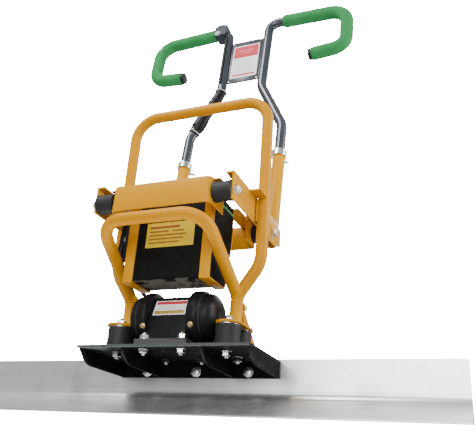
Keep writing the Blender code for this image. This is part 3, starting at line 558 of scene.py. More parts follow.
def ring_around(centre, direction, radius, count=24):
    _, side, up = axes_for(direction)
    return circle(Vector(centre), side, up, radius, count)


# Blade and motor base

def make_blade():
    arc = []
    for i in range(15):
        angle = -math.radians(73) * i / 14
        arc.append((-0.022 + 0.022 * math.cos(angle), 0.063 + 0.022 * math.sin(angle)))
    outline = [(0.0038, 0.0), (0.004, 0.0004), (0.004, 0.1286), (0.0036, 0.129), (0.0004, 0.129),
        (0.0, 0.1286)]
    outline += [(0.0, 0.0654), (0.0004, 0.0648), (0.0004, 0.0638), (0.0, 0.0632)] + arc
    outline += [(-0.134, 0.0042), (-0.1386, 0.0034), (-0.1398, 0.0026), (-0.14, 0.0016), (-0.1397, 0.0004)]
    outline += [(-0.139, 0.0), (-0.115, 0.0)]
    bm = bmesh.new()
    prism(bm, outline, "X", -BLADE_HALF, BLADE_HALF)
    blade = finish_mesh(bm, "blade_extrusion", "alu", "base", ["blade"], sharp=30)
    cut = bmesh.new()
    prism(cut, [(0.001, 0.0032), (0.001, 0.038), (-0.018, 0.0365), (-0.058, 0.024),
        (-0.058, 0.0032)], "X", -0.6, 0.6)
    prism(cut, [(-0.061, 0.0032), (-0.061, 0.023), (-0.112, 0.0076), (-0.114, 0.0032)], "X", -0.6, 0.6)
    for x in FLANGE_BOLT_X:
        drill(cut, (x, -0.02, FLANGE_BOLT_Z), (0, 1, 0), 0.0054, 0.04)
    carve(blade, cut)


def carve(obj, bm):
    """Cuts a mesh out of an object and keeps its material."""
    bmesh.ops.recalc_face_normals(bm, faces=bm.faces)
    other = new_object("cut", bm)
    mod = obj.modifiers.new("cut", "BOOLEAN")
    mod.operation = "DIFFERENCE"
    mod.object = other
    mod.solver = "EXACT"
    mat = obj.data.materials[0]
    apply_modifiers(obj)
    obj.data.materials.clear()
    obj.data.materials.append(mat)
    bpy.data.objects.remove(other)


def make_base():
    refine("base_plate", "black", "base", 0.0012, 3)
    for place, x in zip(("left", "middle", "right"), FLANGE_BOLT_X):
        bm = bmesh.new()
        at = (x, -0.0066, FLANGE_BOLT_Z)
        hexagon(bm, at, (0, -1, 0), 0.0088, 0.0019, 0.008, spin=x * 9)
        washer(bm, at, (0, -1, 0), 0.0, 0.0018, 0.0112, 0.0)
        stud(bm, (x, -0.0064, FLANGE_BOLT_Z), (0, 1, 0), 0.0, 0.0246, 0.0049)
        washer(bm, (x, 0.0043, FLANGE_BOLT_Z), (0, 1, 0), 0.0, 0.0018, 0.0105)
        hexagon(bm, (x, 0.0043, FLANGE_BOLT_Z), (0, 1, 0), 0.0088, 0.0019, 0.01)
        finish_mesh(bm, f"flange_bolt_{place}_set", "steel", "base", ["flange_bolt_" + place])
    for side, sign in SIDES:
        for place, y in zip(("front", "rear"), MOUNT_Y):
            at = (sign * MOUNT_X, y, 0.0)
            name = f"{place}_{side}"
            body = [(0.1272, 0.0), (0.1272, 0.0225), (0.1278, 0.024), (0.1292, 0.0248), (0.132, 0.0247),
                (0.147, 0.0239), (0.163, 0.0247), (0.166, 0.0248), (0.1674, 0.024), (0.168, 0.0225),
                (0.168, 0.0)]
            bm = bmesh.new()
            turned(bm, at, (0, 0, 1), body, 48)
            mount = finish_mesh(bm, f"isolator_{name}_rubber", "rubber", None, ["isolator_" + name])
            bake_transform(mount)
            bm = bmesh.new()
            washer(bm, at, (0, 0, 1), 0.1254, 0.1271, 0.0235)
            stud(bm, (sign * MOUNT_X, y, 0.127), (0, 0, -1), 0.0, 0.021, 0.0049)
            washer(bm, (sign * MOUNT_X, y, 0.1197), (0, 0, -1), 0.0, 0.0016, 0.0105)
            hexagon(bm, (sign * MOUNT_X, y, 0.1197), (0, 0, -1), 0.0083, 0.0018, 0.01, spin=sign + y * 9)
            finish_mesh(bm, f"isolator_{name}_lower_set", "steel", "base", [])
            bm = bmesh.new()
            washer(bm, at, (0, 0, 1), 0.1683, 0.17, 0.023)
            washer(bm, at, (0, 0, 1), 0.1756, 0.1772, 0.0104)
            stud(bm, (sign * MOUNT_X, y, 0.169), (0, 0, 1), 0.0, 0.009, 0.0048)
            hexagon(bm, (sign * MOUNT_X, y, 0.1773), (0, 0, 1), 0.0083, 0.0, 0.006, dome=0.0062, spin=y * 20)
            finish_mesh(bm, f"isolator_{name}_nut_set", "steel", "frame", ["isolator_nut_" + name])


def make_motor():
    refine("motor_housing", "motor", "base", 0.0022, 3)
    for side, sign in SIDES:
        shield = [(0.0424, 0.0183), (0.0424, 0.0478), (0.0432, 0.0505), (0.045, 0.0536), (0.0475, 0.0549),
            (0.056, 0.0549), (0.06, 0.0547), (0.0655, 0.0536), (0.0672, 0.0518), (0.0679, 0.05),
            (0.0679, 0.0183)]
        bm = bmesh.new()
        turned(bm, MOTOR_AT, (sign, 0, 0), shield, 64)
        finish_mesh(bm, f"motor_shield_{side}_form", "motor", "base", ["motor_shield_" + side], sharp=50)
        low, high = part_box("motor_cover_" + side)
        crown = abs((low.x if sign < 0 else high.x) - MOTOR_AT.x)
        rim = 0.0683
        cup = [(rim, 0.0462), (rim, 0.0494), (rim + 0.004, 0.0493), (rim + 0.009, 0.0484)]
        span = crown - rim - 0.009
        sweep = math.radians(84)
        for i in range(1, 9):
            angle = sweep * i / 8
            reach = span * math.sin(angle) / math.sin(sweep)
            cup.append((rim + 0.009 + reach, 0.01 + 0.0384 * math.cos(angle) ** 0.8))
        cup += [(crown, 0.01), (crown - 0.0024, 0.01), (crown - 0.004, 0.028), (crown - 0.01, 0.0405),
            (rim + 0.008, 0.0452)]
        bm = bmesh.new()
        turned(bm, MOTOR_AT, (sign, 0, 0), cup, 64)
        turned(bm, MOTOR_AT, (sign, 0, 0), [(crown - 0.0024, 0.0), (crown - 0.0024, 0.0102),
            (crown - 0.0006, 0.0102), (crown - 0.0004, 0.0)], 40)
        finish_mesh(bm, f"motor_cover_{side}_form", "motor", "base", ["motor_cover_" + side], sharp=50)
        bm = bmesh.new()
        turned(bm, MOTOR_AT, (sign, 0, 0), [(0.05, 0.0094), (0.05, 0.012), (0.0506, 0.0124),
            (0.0506, 0.0148), (0.05, 0.0152), (0.05, 0.0178), (0.063, 0.0178), (0.063, 0.0152),
            (0.0624, 0.0148), (0.0624, 0.0124), (0.063, 0.012), (0.063, 0.0094)], 48)
        finish_mesh(bm, f"motor_bearing_{side}_ring", "steel", "base", ["motor_bearing_" + side])
        refine("motor_weight_" + side, "iron", "rotor", 0.0006, 2)
    bm = bmesh.new()
    turned(bm, MOTOR_AT, (1, 0, 0), [(-0.0298, 0.0256), (-0.0298, 0.027), (-0.026, 0.029), (-0.026, 0.0331),
        (0.026, 0.0331), (0.026, 0.029), (0.0298, 0.027), (0.0298, 0.0256)], 48)
    finish_mesh(bm, "motor_stator_core", "copper", "base", ["motor_stator"])
    bm = bmesh.new()
    turned(bm, MOTOR_AT, (1, 0, 0), [(-0.086, 0.0), (-0.086, 0.0076), (-0.085, 0.0088), (-0.0335, 0.0089),
        (-0.033, 0.024), (-0.032, 0.0249), (0.032, 0.0249), (0.033, 0.024), (0.0335, 0.0089),
        (0.085, 0.0088), (0.086, 0.0076), (0.086, 0.0)], 48)
    finish_mesh(bm, "motor_shaft_form", "steel", "rotor", ["motor_shaft"])
    bm = bmesh.new()
    for x in (-0.041, 0.041):
        for y in (-0.158, -0.062):
            at = (-0.004 + x, y, 0.1376)
            washer(bm, at, (0, 0, 1), 0.0, 0.0018, 0.0112, 0.0)
            hexagon(bm, at, (0, 0, 1), 0.0088, 0.0019, 0.009, dome=0.0066, spin=x * 9)
            stud(bm, (-0.004 + x, y, 0.1372), (0, 0, -1), 0.0, 0.03, 0.0039, 0.00125)
    finish_mesh(bm, "motor_foot_bolts", "steel", "base", [])
    for place, y, mat in (("front", -0.158, "steel"), ("rear", -0.062, "motor")):
        bm = bmesh.new()
        for x in (-0.041, 0.041):
            under = (-0.004 + x, y, 0.1197)
            washer(bm, under, (0, 0, -1), 0.0, 0.0016, 0.0098)
            hexagon(bm, under, (0, 0, -1), 0.0078, 0.0017, 0.008, spin=x * 20)
        finish_mesh(bm, "motor_foot_nuts_" + place, mat, "base")
    bm = bmesh.new()
    for x in (-0.049, 0.0555):
        for flip in (-1, 1):
            radius = 0.055
            angle = math.radians(26)
            out = Vector((0, flip * math.cos(angle), -math.sin(angle)))
            at = MOTOR_AT + Vector((x, 0, 0)) + out * (radius - 0.0004)
            washer(bm, at, out, 0.0, 0.0009, 0.0058, 0.0)
            hexagon(bm, at, out, 0.0042, 0.0009, 0.0044, spin=x * 30)
    finish_mesh(bm, "motor_screws", "brass", "base")


# Frame, hoops and cradle

def hoop_path():
    right = [(0.122, -0.104, 0.1756), (0.122, -0.104, 0.233), (0.1691, -0.104, 0.301),
        (0.1691, -0.108, 0.692)]
    left = [(-x, y, z) for x, y, z in reversed(right)]
    return round_path(right + left, [0.05, 0.07, 0.055, 0.055, 0.07, 0.05], 14)


def distance_to(path, point):
    best = math.inf
    for a, b in zip(path, path[1:]):
        span = b - a
        share = max(0.0, min(1.0, (point - a).dot(span) / span.length_squared))
        best = min(best, (a + span * share - point).length)
    return best


def cope_ring(path, start, direction, radius, reach):
    """Points round a tube where it meets another tube, for the weld bead there."""
    along, side, up = axes_for(direction)
    ring = []
    for off in circle(Vector(), side, up, radius, 32):
        t = 0.0
        while distance_to(path, start + off + along * t) < reach and t < 0.06:
            t += 0.0005
        ring.append(start + off + along * t)
    return ring


def make_hoops():
    path = hoop_path()
    bm = bmesh.new()
    swept(bm, path, TUBE_R, 36, TUBE_BORE)
    finish_mesh(bm, "rear_hoop_tube", "yellow", "frame", ["rear_hoop"], sharp=50)
    bm = bmesh.new()
    lug = [(-0.095, 0.2075), (-0.08, 0.2065), (-0.0745, 0.2085), (-0.0712, 0.2125), (-0.0702, 0.2165),
        (-0.0712, 0.2205), (-0.0745, 0.2245), (-0.08, 0.2265), (-0.095, 0.2265)]
    for sign in (-1, 1):
        for x in (0.1145, 0.1255):
            prism(bm, lug, "X", *sorted((sign * x, sign * (x + 0.004))))
    lugs = finish_mesh(bm, "stand_lugs", "yellow", "frame", bevel=0.0005)
    cut = bmesh.new()
    for sign in (-1, 1):
        drill(cut, (sign * 0.1, STAND_PIVOT.y, STAND_PIVOT.z), (sign, 0, 0), 0.0034, 0.05)
    carve(lugs, cut)
    start = Vector((0.122, -0.104, 0.236))
    corner = Vector((0.113, -0.27, 0.35))
    mirror = [Vector((-p.x, p.y, p.z)) for p in (corner, start)]
    bm = bmesh.new()
    swept(bm, round_path([start, corner] + mirror, [0.05, 0.05], 14), TUBE_R, 36, TUBE_BORE)
    guard = finish_mesh(bm, "front_hoop_tube", "yellow", "frame", ["front_hoop"], sharp=50)
    cut = bmesh.new()
    swept(cut, path, 0.0129, 32)
    carve(guard, cut)
    guard.data.shade_smooth()
    guard.data.set_sharp_from_angle(angle=math.radians(50))
    bm = bmesh.new()
    for sign, at, to in ((-1, *reversed(mirror)), (1, start, corner)):
        weld_bead(bm, cope_ring(path, at, to - at, 0.0128, 0.0133), 0.0019, 3 + sign)
        weld_bead(bm, ring_around((sign * 0.122, -0.104, 0.1763), (0, 0, 1), 0.0137), 0.0019, 6 + sign)
    finish_mesh(bm, "hoop_welds", "yellow", "frame", sharp=80)


def make_feet():
    for side, sign in SIDES:
        outline = []
        for i in range(50):
            angle = math.pi * (i if i < 25 else i - 1) / 24
            y = -0.075 if i < 25 else -0.133
            outline.append((sign * 0.122 + 0.026 * math.cos(angle), y + 0.026 * math.sin(angle)))
        bm = bmesh.new()
        prism(bm, outline, "Z", 0.1703, 0.1753)
        plate = finish_mesh(bm, f"foot_plate_{side}_form", "yellow", "frame", ["foot_plate_" + side],
                            bevel=0.0007)
        cut = bmesh.new()
        for y in MOUNT_Y:
            drill(cut, (sign * MOUNT_X, y, 0.16), (0, 0, 1), 0.0054, 0.03)
        carve(plate, cut)


def make_sides():
    for side, sign in SIDES:
        refine("side_plate_" + side, "yellow", "frame", 0.0009, 2)
        for place, y in (("front", -0.228), ("rear", -0.004)):
            name = f"bush_{place}_{side}"
            at = Vector((sign * 0.1113, y, 0.408))
            out = (sign, 0, 0)
            body = [(0.0, 0.0), (0.0, 0.019), (0.0004, 0.02), (0.0016, 0.0209), (0.004, 0.021),
                (0.012, 0.0203), (0.0202, 0.02), (0.0284, 0.0203), (0.0364, 0.021), (0.0388, 0.0209),
                (0.04, 0.02), (0.0404, 0.019), (0.0404, 0.0)]
            bm = bmesh.new()
            turned(bm, at, out, body, 48)
            finish_mesh(bm, name + "_rubber", "rubber", "frame", [name])
            bm = bmesh.new()
            stud(bm, at + Vector((sign * 0.04, 0, 0)), out, 0.0, 0.016, 0.0048)
            outer = Vector((sign * 0.1563, y, 0.408))
            washer(bm, outer, out, 0.0, 0.0016, 0.01)
            hexagon(bm, outer, out, 0.0083, 0.0017, 0.0078, spin=y * 30 + sign)
            finish_mesh(bm, name + "_nut_set", "steel", "frame")
        bm = bmesh.new()
        for z, seed in ((0.4456, 11), (0.4404, 12)):
            bead_line(bm, (sign * 0.1545, -0.1215, z), (sign * 0.1795, -0.1215, z), 0.0017, seed)
        for y, top, seed in ((-0.1163, 0.439, 17), (-0.0997, 0.443, 18)):
            bead_line(bm, (sign * 0.1592, y, 0.388), (sign * 0.1592, y, top), 0.0028, seed)
        for flip in (-1, 1):
            low = lean(sign * SOCKET_X, 0.402) + ACROSS * flip * 0.006 + Vector((sign * 0.0157, 0, 0))
            high = lean(sign * SOCKET_X, 0.438) + ACROSS * flip * 0.006 + Vector((sign * 0.0157, 0, 0))
            bead_line(bm, low, high, 0.0018, 14 + flip)
        finish_mesh(bm, "side_welds_" + side, "yellow", "frame", sharp=80)


def make_sockets():
    along = lean(0, 1) - lean(0, 0)
    for side, sign in SIDES:
        start = lean(sign * SOCKET_X, 0.4)
        length = (lean(0, 0.65) - lean(0, 0.4)).length
        bm = bmesh.new()
        turned(bm, start, along, [(0, 0.0143), (0, 0.0155), (0.0006, 0.016), (length - 0.0006, 0.016),
            (length, 0.0156), (length, 0.0142)], 44)
        finish_mesh(bm, f"socket_{side}_tube", "yellow", "frame", ["socket_" + side])
        base = lean(sign * SOCKET_X, 0.6503)
        at = lean(sign * SOCKET_X, 0.6595)
        bm = bmesh.new()
        turned(bm, base, along, [(0, 0.0142), (0, 0.0187), (0.0008, 0.0195), (0.007, 0.0195),
            (0.0076, 0.019), (0.0104, 0.019), (0.011, 0.0195), (0.0172, 0.0195), (0.018, 0.0187),
            (0.018, 0.0142)], 48)
        turned(bm, at, ACROSS, [(0.0165, 0.0034), (0.0165, 0.0066), (0.0215, 0.0064), (0.0243, 0.0062),
            (0.025, 0.0056), (0.025, 0.0034)], 32)
        finish_mesh(bm, f"collar_{side}_ring", "steel", "frame", ["collar_" + side])
        bm = bmesh.new()
        stud(bm, at, ACROSS, 0.0141, 0.0273, 0.003, 0.0012)
        turned(bm, at, ACROSS, [(0.027, 0.0), (0.027, 0.005), (0.0277, 0.0056), (0.0325, 0.0056),
            (0.0351, 0.0048), (0.0357, 0.0036), (0.0359, 0.0)], 32)
        for flip in (-1, 1):
            ear = [at + ACROSS * far + Vector((flip * wide, 0, 0))
                for far, wide in ((0.0308, 0.0012), (0.0355, 0.0085), (0.0423, 0.0138))]
            ear = even_path(round_path(ear, [0.01], 6), 0.0015)
            shares = [min(1.0, 0.15 + k / len(ear)) for k in range(len(ear))]
            radii = [0.0026 + 0.0012 * math.sin(math.pi * share) for share in shares]
            radii[-1] = 0.0018
            swept(bm, ear, radii, 16)
        finish_mesh(bm, f"wing_bolt_{side}_form", "steel", "wing_" + side, ["wing_bolt_" + side])


def make_cradle():
    for name in ("cradle_front", "cradle_rear"):
        refine(name, "yellow", "frame", 0.0008, 2)
    for side in ("left", "right"):
        refine("stirrup_" + side, "yellow", "frame", 0.0006, 2)


def make_stand():
    along = Vector((0.7876, -0.6162)).normalized()
    aside = Vector((-along.y, along.x))
    outline = []
    for i in range(21):
        angle = math.pi / 2 + math.pi * i / 20
        outline.append(along * 0.0095 * math.cos(angle) + aside * 0.0095 * math.sin(angle))
    for i in range(21):
        angle = -math.pi / 2 + math.pi * i / 20
        outline.append(along * (0.29 + 0.0085 * math.cos(angle)) + aside * 0.0085 * math.sin(angle))
    outline = [(p.x + STAND_PIVOT.y, p.y + STAND_PIVOT.z) for p in outline]
    bm = bmesh.new()
    for sign in (-1, 1):
        prism(bm, outline, "X", *sorted((sign * 0.119, sign * 0.125)))
    finish_mesh(bm, "park_stand_legs", "yellow", "stand", ["park_stand"], bevel=0.0006)
    foot = Vector((0, STAND_PIVOT.y + along.x * 0.29, STAND_PIVOT.z + along.y * 0.29))
    bm = bmesh.new()
    turned(bm, foot, (1, 0, 0), [(-0.1185, 0.0), (-0.1185, 0.0072), (-0.118, 0.0075), (0.118, 0.0075),
        (0.1185, 0.0072), (0.1185, 0.0)], 36)
    for sign in (-1, 1):
        weld_bead(bm, ring_around(foot + Vector((sign * 0.1184, 0, 0)), (1, 0, 0), 0.0076), 0.0013, 21 + sign)
    finish_mesh(bm, "park_stand_bar", "yellow", "stand", sharp=60)
    bm = bmesh.new()
    for sign in (-1, 1):
        at = Vector((sign * 0.122, STAND_PIVOT.y, STAND_PIVOT.z))
        turned(bm, at, (1, 0, 0), [(-0.013, 0.0), (-0.013, 0.0044), (-0.0124, 0.0052), (-0.0085, 0.0052),
            (-0.0084, 0.0031), (0.0084, 0.0031), (0.0085, 0.0052), (0.0124, 0.0052), (0.013, 0.0044),
            (0.013, 0.0)], 32)
    finish_mesh(bm, "park_stand_pins", "steel", "stand")


# Battery

def printed(name, mat, body, turn, rows, depth):
    """Thin printed bars on a plate: (left, right, low, high) in the plate's own plane."""
    bm = bmesh.new()
    for left, right, low, high in rows:
        block(bm, (left, right), depth, (low, high))
    bmesh.ops.transform(bm, matrix=turn, verts=bm.verts)
    finish_mesh(bm, name, mat, body)


def make_battery():
    refine("battery_box", "box", "battery", 0.0014, 3)
    refine("battery_pack", "grey", "battery", 0.003, 3)
    refine("battery_seal", "seal", "battery", 0.0007, 2)
    refine("battery_lid", "box", "battery", 0.003, 3)
    refine("battery_handle", "plastic", "battery", 0.0016, 3)
    refine("battery_socket", "plastic", "battery", 0.0016, 3)
    bm = bmesh.new()
    for y in (-0.176, -0.102):
        block(bm, (-0.08, 0.08), (y - 0.003, y + 0.003), (0.4338, 0.4352))
    finish_mesh(bm, "battery_lid_ribs", "box", "battery", bevel=0.0006)
    bm = bmesh.new()
    for x in (-0.06, 0.06):
        turned(bm, (x, -0.139, 0.4338), (0, 0, 1), [(0, 0.0), (0, 0.0046), (0.0012, 0.0044),
            (0.0022, 0.0034), (0.0026, 0.0016), (0.0026, 0.0)], 28)
    finish_mesh(bm, "battery_lid_screws", "steel", "battery")
    bm = bmesh.new()
    turned(bm, (-0.1177, -0.1575, 0.352), (-1, 0, 0), [(0, 0.0), (0, 0.0098), (0.0006, 0.0102),
        (0.0022, 0.0102), (0.003, 0.0094), (0.003, 0.006), (0.0012, 0.0056), (0.0012, 0.0)], 40)
    finish_mesh(bm, "battery_socket_ring", "grey", "battery")
    flat = Matrix.Translation((0, -0.185, 0.347))
    printed("battery_label", "label", "battery", flat, [(-0.055, 0.054, -0.027, 0.027)], (-0.0005, -0.0001))
    lines = [(-0.048, 0.02, 0.014, 0.019), (-0.048, -0.004, 0.006, 0.009), (0.004, 0.03, 0.006, 0.009),
        (-0.048, 0.036, -0.002, 0.0005), (-0.048, 0.03, -0.01, -0.0075), (-0.048, 0.022, -0.018, -0.0155)]
    printed("battery_label_bars", "ink", "battery", flat, lines, (-0.0007, -0.0004))


# Handle

def tube_points(sign):
    flat = [(SOCKET_X, 0.5), (SOCKET_X, 0.756), (0.061, 0.906), (0.064, 1.1525), (0.298, 1.144),
        (0.296, 1.003), (0.194, 0.994)]
    return [lean(sign * x, z) for x, z in flat]


def make_grip(side, sign):
    points = tube_points(sign)
    a = points[3].lerp(points[4], (0.108 - 0.064) / 0.234)
    b = points[5].lerp(points[6], (0.296 - 0.2) / 0.102)
    path = even_path(round_path([a, points[4], points[5], b], TUBE_RADII[3:], 16), 0.004)
    rng = random.Random(31 + sign)
    radii = []
    for k in range(len(path)):
        end = min(k, len(path) - 1 - k) * 0.004
        shape = GRIP_R - 0.0022 * max(0.0, 1 - end / 0.006) ** 2
        radii.append(shape + (rng.random() - 0.5) * 0.00012)
    bm = bmesh.new()
    swept(bm, path, radii, 44, 0.01385)
    grip = finish_mesh(bm, f"grip_{side}_foam", "foam", "handle", ["grip_" + side], sharp=60)
    away = (points[6] - points[5]).normalized()
    bm = bmesh.new()
    turned(bm, points[6], away, [(-0.0056, 0.01385), (-0.0056, 0.0157), (0.001, 0.0161), (0.0026, 0.0152),
        (0.0034, 0.012), (0.0036, 0.0), (0.0003, 0.0), (0.0003, 0.01385)], 36)
    finish_mesh(bm, "tube_plug_" + side, "plastic", "handle")


def make_tubes():
    for side, sign in SIDES:
        path = round_path(tube_points(sign), TUBE_RADII, 16)
        bm = bmesh.new()
        swept(bm, path, HANDLE_R, 40, 0.0119)
        finish_mesh(bm, f"handle_tube_{side}_bar", "tube", "handle", ["handle_tube_" + side], sharp=50)
        make_grip(side, sign)


def make_plate():
    turn = Matrix.Translation(lean(0, 1.018)) @ Matrix.Rotation(-TILT, 4, "X")
    outline = [(-0.0477, -0.078), (-0.0445, -0.082), (0.0445, -0.082), (0.0477, -0.078), (0.0496, 0.078),
        (0.0465, 0.082), (-0.0465, 0.082), (-0.0496, 0.078)]
    bm = bmesh.new()
    prism(bm, outline, "Y", -0.0015, 0.0015)
    bmesh.ops.transform(bm, matrix=turn, verts=bm.verts)
    finish_mesh(bm, "handle_plate_form", "tube", "handle", ["handle_plate"], bevel=0.0006)
    skin = (-0.002, -0.0016)
    ink = (-0.0022, -0.0019)
    printed("plate_sheet", "sheet", "handle", turn, [(-0.0405, 0.0405, -0.064, 0.064)], skin)
    printed("plate_band", "red", "handle", turn, [(-0.0375, 0.0375, 0.015, 0.06)], ink)
    printed("plate_foot_band", "red", "handle", turn, [(-0.034, 0.034, -0.057, -0.051)], ink)
    rows = [(-0.022, 0.022, 0.04, 0.044), (-0.015, 0.015, 0.031, 0.034)]
    printed("plate_band_bars", "pale_red", "handle", turn, rows, (-0.0024, -0.0021))
    rows = [(-0.034, 0.006, 0.006, 0.008), (-0.034, 0.026, -0.003, -0.001), (-0.034, 0.018, -0.012, -0.01),
        (-0.034, 0.03, -0.022, -0.02), (-0.034, 0.022, -0.031, -0.029), (-0.034, 0.028, -0.04, -0.038)]
    printed("plate_grey_bars", "pale_grey", "handle", turn, rows, ink)
    bm = bmesh.new()
    for x in (-0.0425, 0.0425):
        for z in (-0.0755, 0.0755):
            at = turn @ Vector((x, -0.0014, z))
            out = turn.to_3x3() @ Vector((0, -1, 0))
            turned(bm, at, out, [(0, 0.0), (0, 0.003), (0.0008, 0.0029), (0.0013, 0.002), (0.0014, 0.0)], 24)
    finish_mesh(bm, "plate_rivets", "steel", "handle")
    bm = bmesh.new()
    for sign in (-1, 1):
        for low, high in ((-0.07, -0.045), (-0.012, 0.012), (0.045, 0.07)):
            ends = [turn @ Vector((sign * (0.0486 + 0.0122 * z), 0.002, z)) for z in (low, high)]
            bead_line(bm, *ends, 0.0016, 41 + sign)
    finish_mesh(bm, "plate_welds", "tube", "handle", sharp=80)


def make_switch():
    refine("switch_block", "dark_grey", "handle", 0.0016, 3)
    turn = Matrix.Translation(lean(-0.0865, 1.15)) @ Matrix.Rotation(-TILT, 4, "X")
    spin = turn.to_3x3()
    out = spin @ Vector((0, -1, 0))
    at = turn @ Vector((-0.01, 0, -0.013))
    bm = bmesh.new()
    turned(bm, at, out, [(0.0185, 0.0), (0.0185, 0.006), (0.023, 0.006), (0.024, 0.0056), (0.0244, 0.0048),
        (0.0242, 0.0)], 36)
    finish_mesh(bm, "start_button_cap", "grey", "button", ["start_button"])
    bm = bmesh.new()
    turned(bm, at, out, [(0.0208, 0.0066), (0.0208, 0.009), (0.022, 0.009), (0.0224, 0.0084),
        (0.0224, 0.0066)], 36)
    finish_mesh(bm, "start_button_bezel", "grey", "handle")
    up = spin @ Vector((0, 0, 1))
    base = turn @ Vector((0, -0.004, 0.0213))
    bm = bmesh.new()
    fluted(bm, base, up, [(0.0, 0.0104, 0.0), (0.001, 0.0116, 0.0), (0.002, 0.0119, 0.0008),
        (0.0075, 0.0116, 0.0008), (0.0088, 0.0108, 0.0003), (0.0098, 0.009, 0.0), (0.01, 0.006, 0.0)])
    pointer = bmesh.new()
    block(pointer, (-0.0008, 0.0008), (-0.0085, -0.001), (0.0098, 0.0102))
    place = Matrix.Translation(base) @ Matrix.Rotation(-TILT, 4, "X")
    bmesh.ops.transform(pointer, matrix=place, verts=pointer.verts)
    finish_mesh(bm, "speed_knob_cap", "plastic", "knob", ["speed_knob"], sharp=30)
    finish_mesh(pointer, "speed_knob_pointer", "white", "knob")
    bm = bmesh.new()
    for x in (-0.014, 0.014):
        at = turn @ Vector((x, -0.0208, 0.0125))
        turned(bm, at, out, [(0, 0.0), (0, 0.0026), (0.0006, 0.0025), (0.001, 0.0016), (0.0007, 0.0008),
            (0.0007, 0.0)], 24)
    finish_mesh(bm, "switch_screws", "steel", "handle")


def fluted(bm, origin, direction, sections):
    """Capped turned form with grip flutes: sections are (distance, radius, flute depth)."""
    along, side, up = axes_for(direction)
    rings = []
    for t, radius, depth in sections:
        def size(angle):
            return radius - depth * (0.5 - 0.5 * math.cos(angle * 18))
        rings.append(circle(Vector(origin) + along * t, side, up, size, 72))
    capped(bm, rings)


def make_cable():
    route = []
    for i in range(41):
        z = 1.124 - 0.00475 * i
        share = (z - 0.906) / 0.2465
        route.append(lean(-(0.061 + 0.003 * share), z) - ACROSS * (0.0167 + 0.0002 * math.sin(i * 0.5)))
    bm = bmesh.new()
    swept(bm, route, 0.0025, 16)
    finish_mesh(bm, "control_cable_lead", "plastic", "handle", ["control_cable"], sharp=60)
    path = round_path(tube_points(-1), TUBE_RADII, 16)
    fine = even_path(path, 0.003)
    bm = bmesh.new()
    sleeve = [p for p in fine if 0.768 <= p.z <= 0.916]
    rng = random.Random(5)
    radii = []
    for k, p in enumerate(sleeve):
        share = (p.z - 0.768) / 0.148
        swell = 0.0036 * math.sin(math.pi * min(1.0, share * 2.2)) ** 2 if share < 0.4545 else 0.0
        radii.append(0.015 + swell + 0.0003 * math.sin(k * 0.9) + 0.0002 * rng.random())
    radii[0] = radii[-1] = 0.0144
    swept(bm, sleeve, radii, 32, 0.0139)
    finish_mesh(bm, "cable_sleeve", "tape", "handle", sharp=60)
    bm = bmesh.new()
    for z, wide in ((1.118, 0.019), (0.908, 0.0162), (0.774, 0.0162)):
        near = [p for p in fine if abs(p.z - z) < 0.004]
        along = (near[-1] - near[0]).normalized()
        middle = near[len(near) // 2]
        if wide > 0.018:
            loop = tie_loop(middle, along)
        else:
            loop = ring_around(middle, along, wide, 32)
        swept(bm, loop + loop[:1], 0.0011, 10)
        lock = middle + Vector((0.004, 0, 0)) - ACROSS * (wide + 0.001)
        turned(bm, lock, along, [(-0.002, 0.0), (-0.002, 0.002), (0.003, 0.002), (0.003, 0.0)], 8)
    finish_mesh(bm, "cable_ties", "white", "handle", sharp=60)


def tie_loop(centre, along):
    """Closed loop that hugs the handle tube and the cable on its front."""
    wide = Vector((1, 0, 0))
    wide = (wide - along * wide.dot(along)).normalized()

    def reach(angle):
        return 0.0147 + 0.0054 * max(0.0, math.cos(angle)) ** 4

    return circle(centre, -ACROSS, wide, reach, 40)


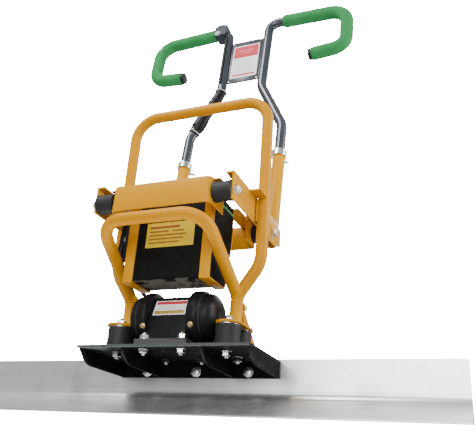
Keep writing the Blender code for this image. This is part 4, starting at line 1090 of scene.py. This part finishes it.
def make_lead():
    """Sleeved battery lead: tied beside the box, then along the frame to a gland on the motor."""
    out = Vector((0, 0.766, 0.643))
    gland = Vector((-0.059, MOTOR_AT.y, MOTOR_AT.z)) + out * 0.0545
    points = [(-0.132, -0.148, 0.392), (-0.134, -0.156, 0.302), (-0.11, -0.13, 0.272),
        (-0.106, -0.075, 0.252), gland + out * 0.03, gland + out * 0.01]
    path = even_path(round_path(points, [0.06, 0.02, 0.016, 0.014], 10), 0.003)
    bm = bmesh.new()
    swept(bm, path, 0.0042, 18)
    lead = finish_mesh(bm, "motor_lead", "plastic", None, sharp=60)
    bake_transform(lead)
    sleeve = [p for p in path if p.z > 0.306]
    radii = [0.0082 + 0.0003 * math.sin(k * 0.8) for k in range(len(sleeve))]
    radii[0] = radii[-1] = 0.0062
    bm = bmesh.new()
    swept(bm, sleeve, radii, 24, 0.0044)
    finish_mesh(bm, "lead_sleeve", "tape", "frame", sharp=60)
    bm = bmesh.new()
    loop = ring_around((-0.1337, -0.1548, 0.313), (0, 0, 1), 0.0094, 28)
    swept(bm, loop + loop[:1], 0.0011, 10)
    finish_mesh(bm, "lead_tie", "white", "frame", sharp=60)
    bm = bmesh.new()
    turned(bm, gland - out * 0.002, out, [(0, 0.0), (0, 0.009), (0.005, 0.009), (0.0056, 0.008),
        (0.012, 0.0072), (0.013, 0.006), (0.013, 0.0)], 6)
    finish_mesh(bm, "motor_gland", "plastic", "base", bevel=0.0004)


def make_nameplate():
    """Motor rating plate with plain coloured bars."""
    slope = math.atan2(0.016, 0.043)
    turn = Matrix.Translation((-0.004, -0.1419, 0.2052)) @ Matrix.Rotation(-slope, 4, "X")
    printed("motor_plate", "sheet", "base", turn, [(-0.036, 0.036, -0.017, 0.017)], (-0.0008, 0.0004))
    printed("motor_plate_top", "red", "base", turn, [(-0.0335, 0.0335, 0.008, 0.015)], (-0.001, -0.0007))
    printed("motor_plate_low", "gold", "base", turn, [(-0.0335, 0.0335, -0.015, -0.007)], (-0.001, -0.0007))
    rows = [(-0.03, 0.01, 0.002, 0.004), (-0.03, 0.022, -0.0025, -0.0008)]
    printed("motor_plate_bars", "pale_grey", "base", turn, rows, (-0.001, -0.0007))


def main():
    set_camera()
    make_materials()
    set_stage()
    make_blade()
    make_base()
    make_motor()
    make_nameplate()
    make_hoops()
    make_feet()
    make_sides()
    make_sockets()
    make_cradle()
    make_stand()
    make_battery()
    make_tubes()
    make_plate()
    make_switch()
    make_cable()
    make_lead()


main()
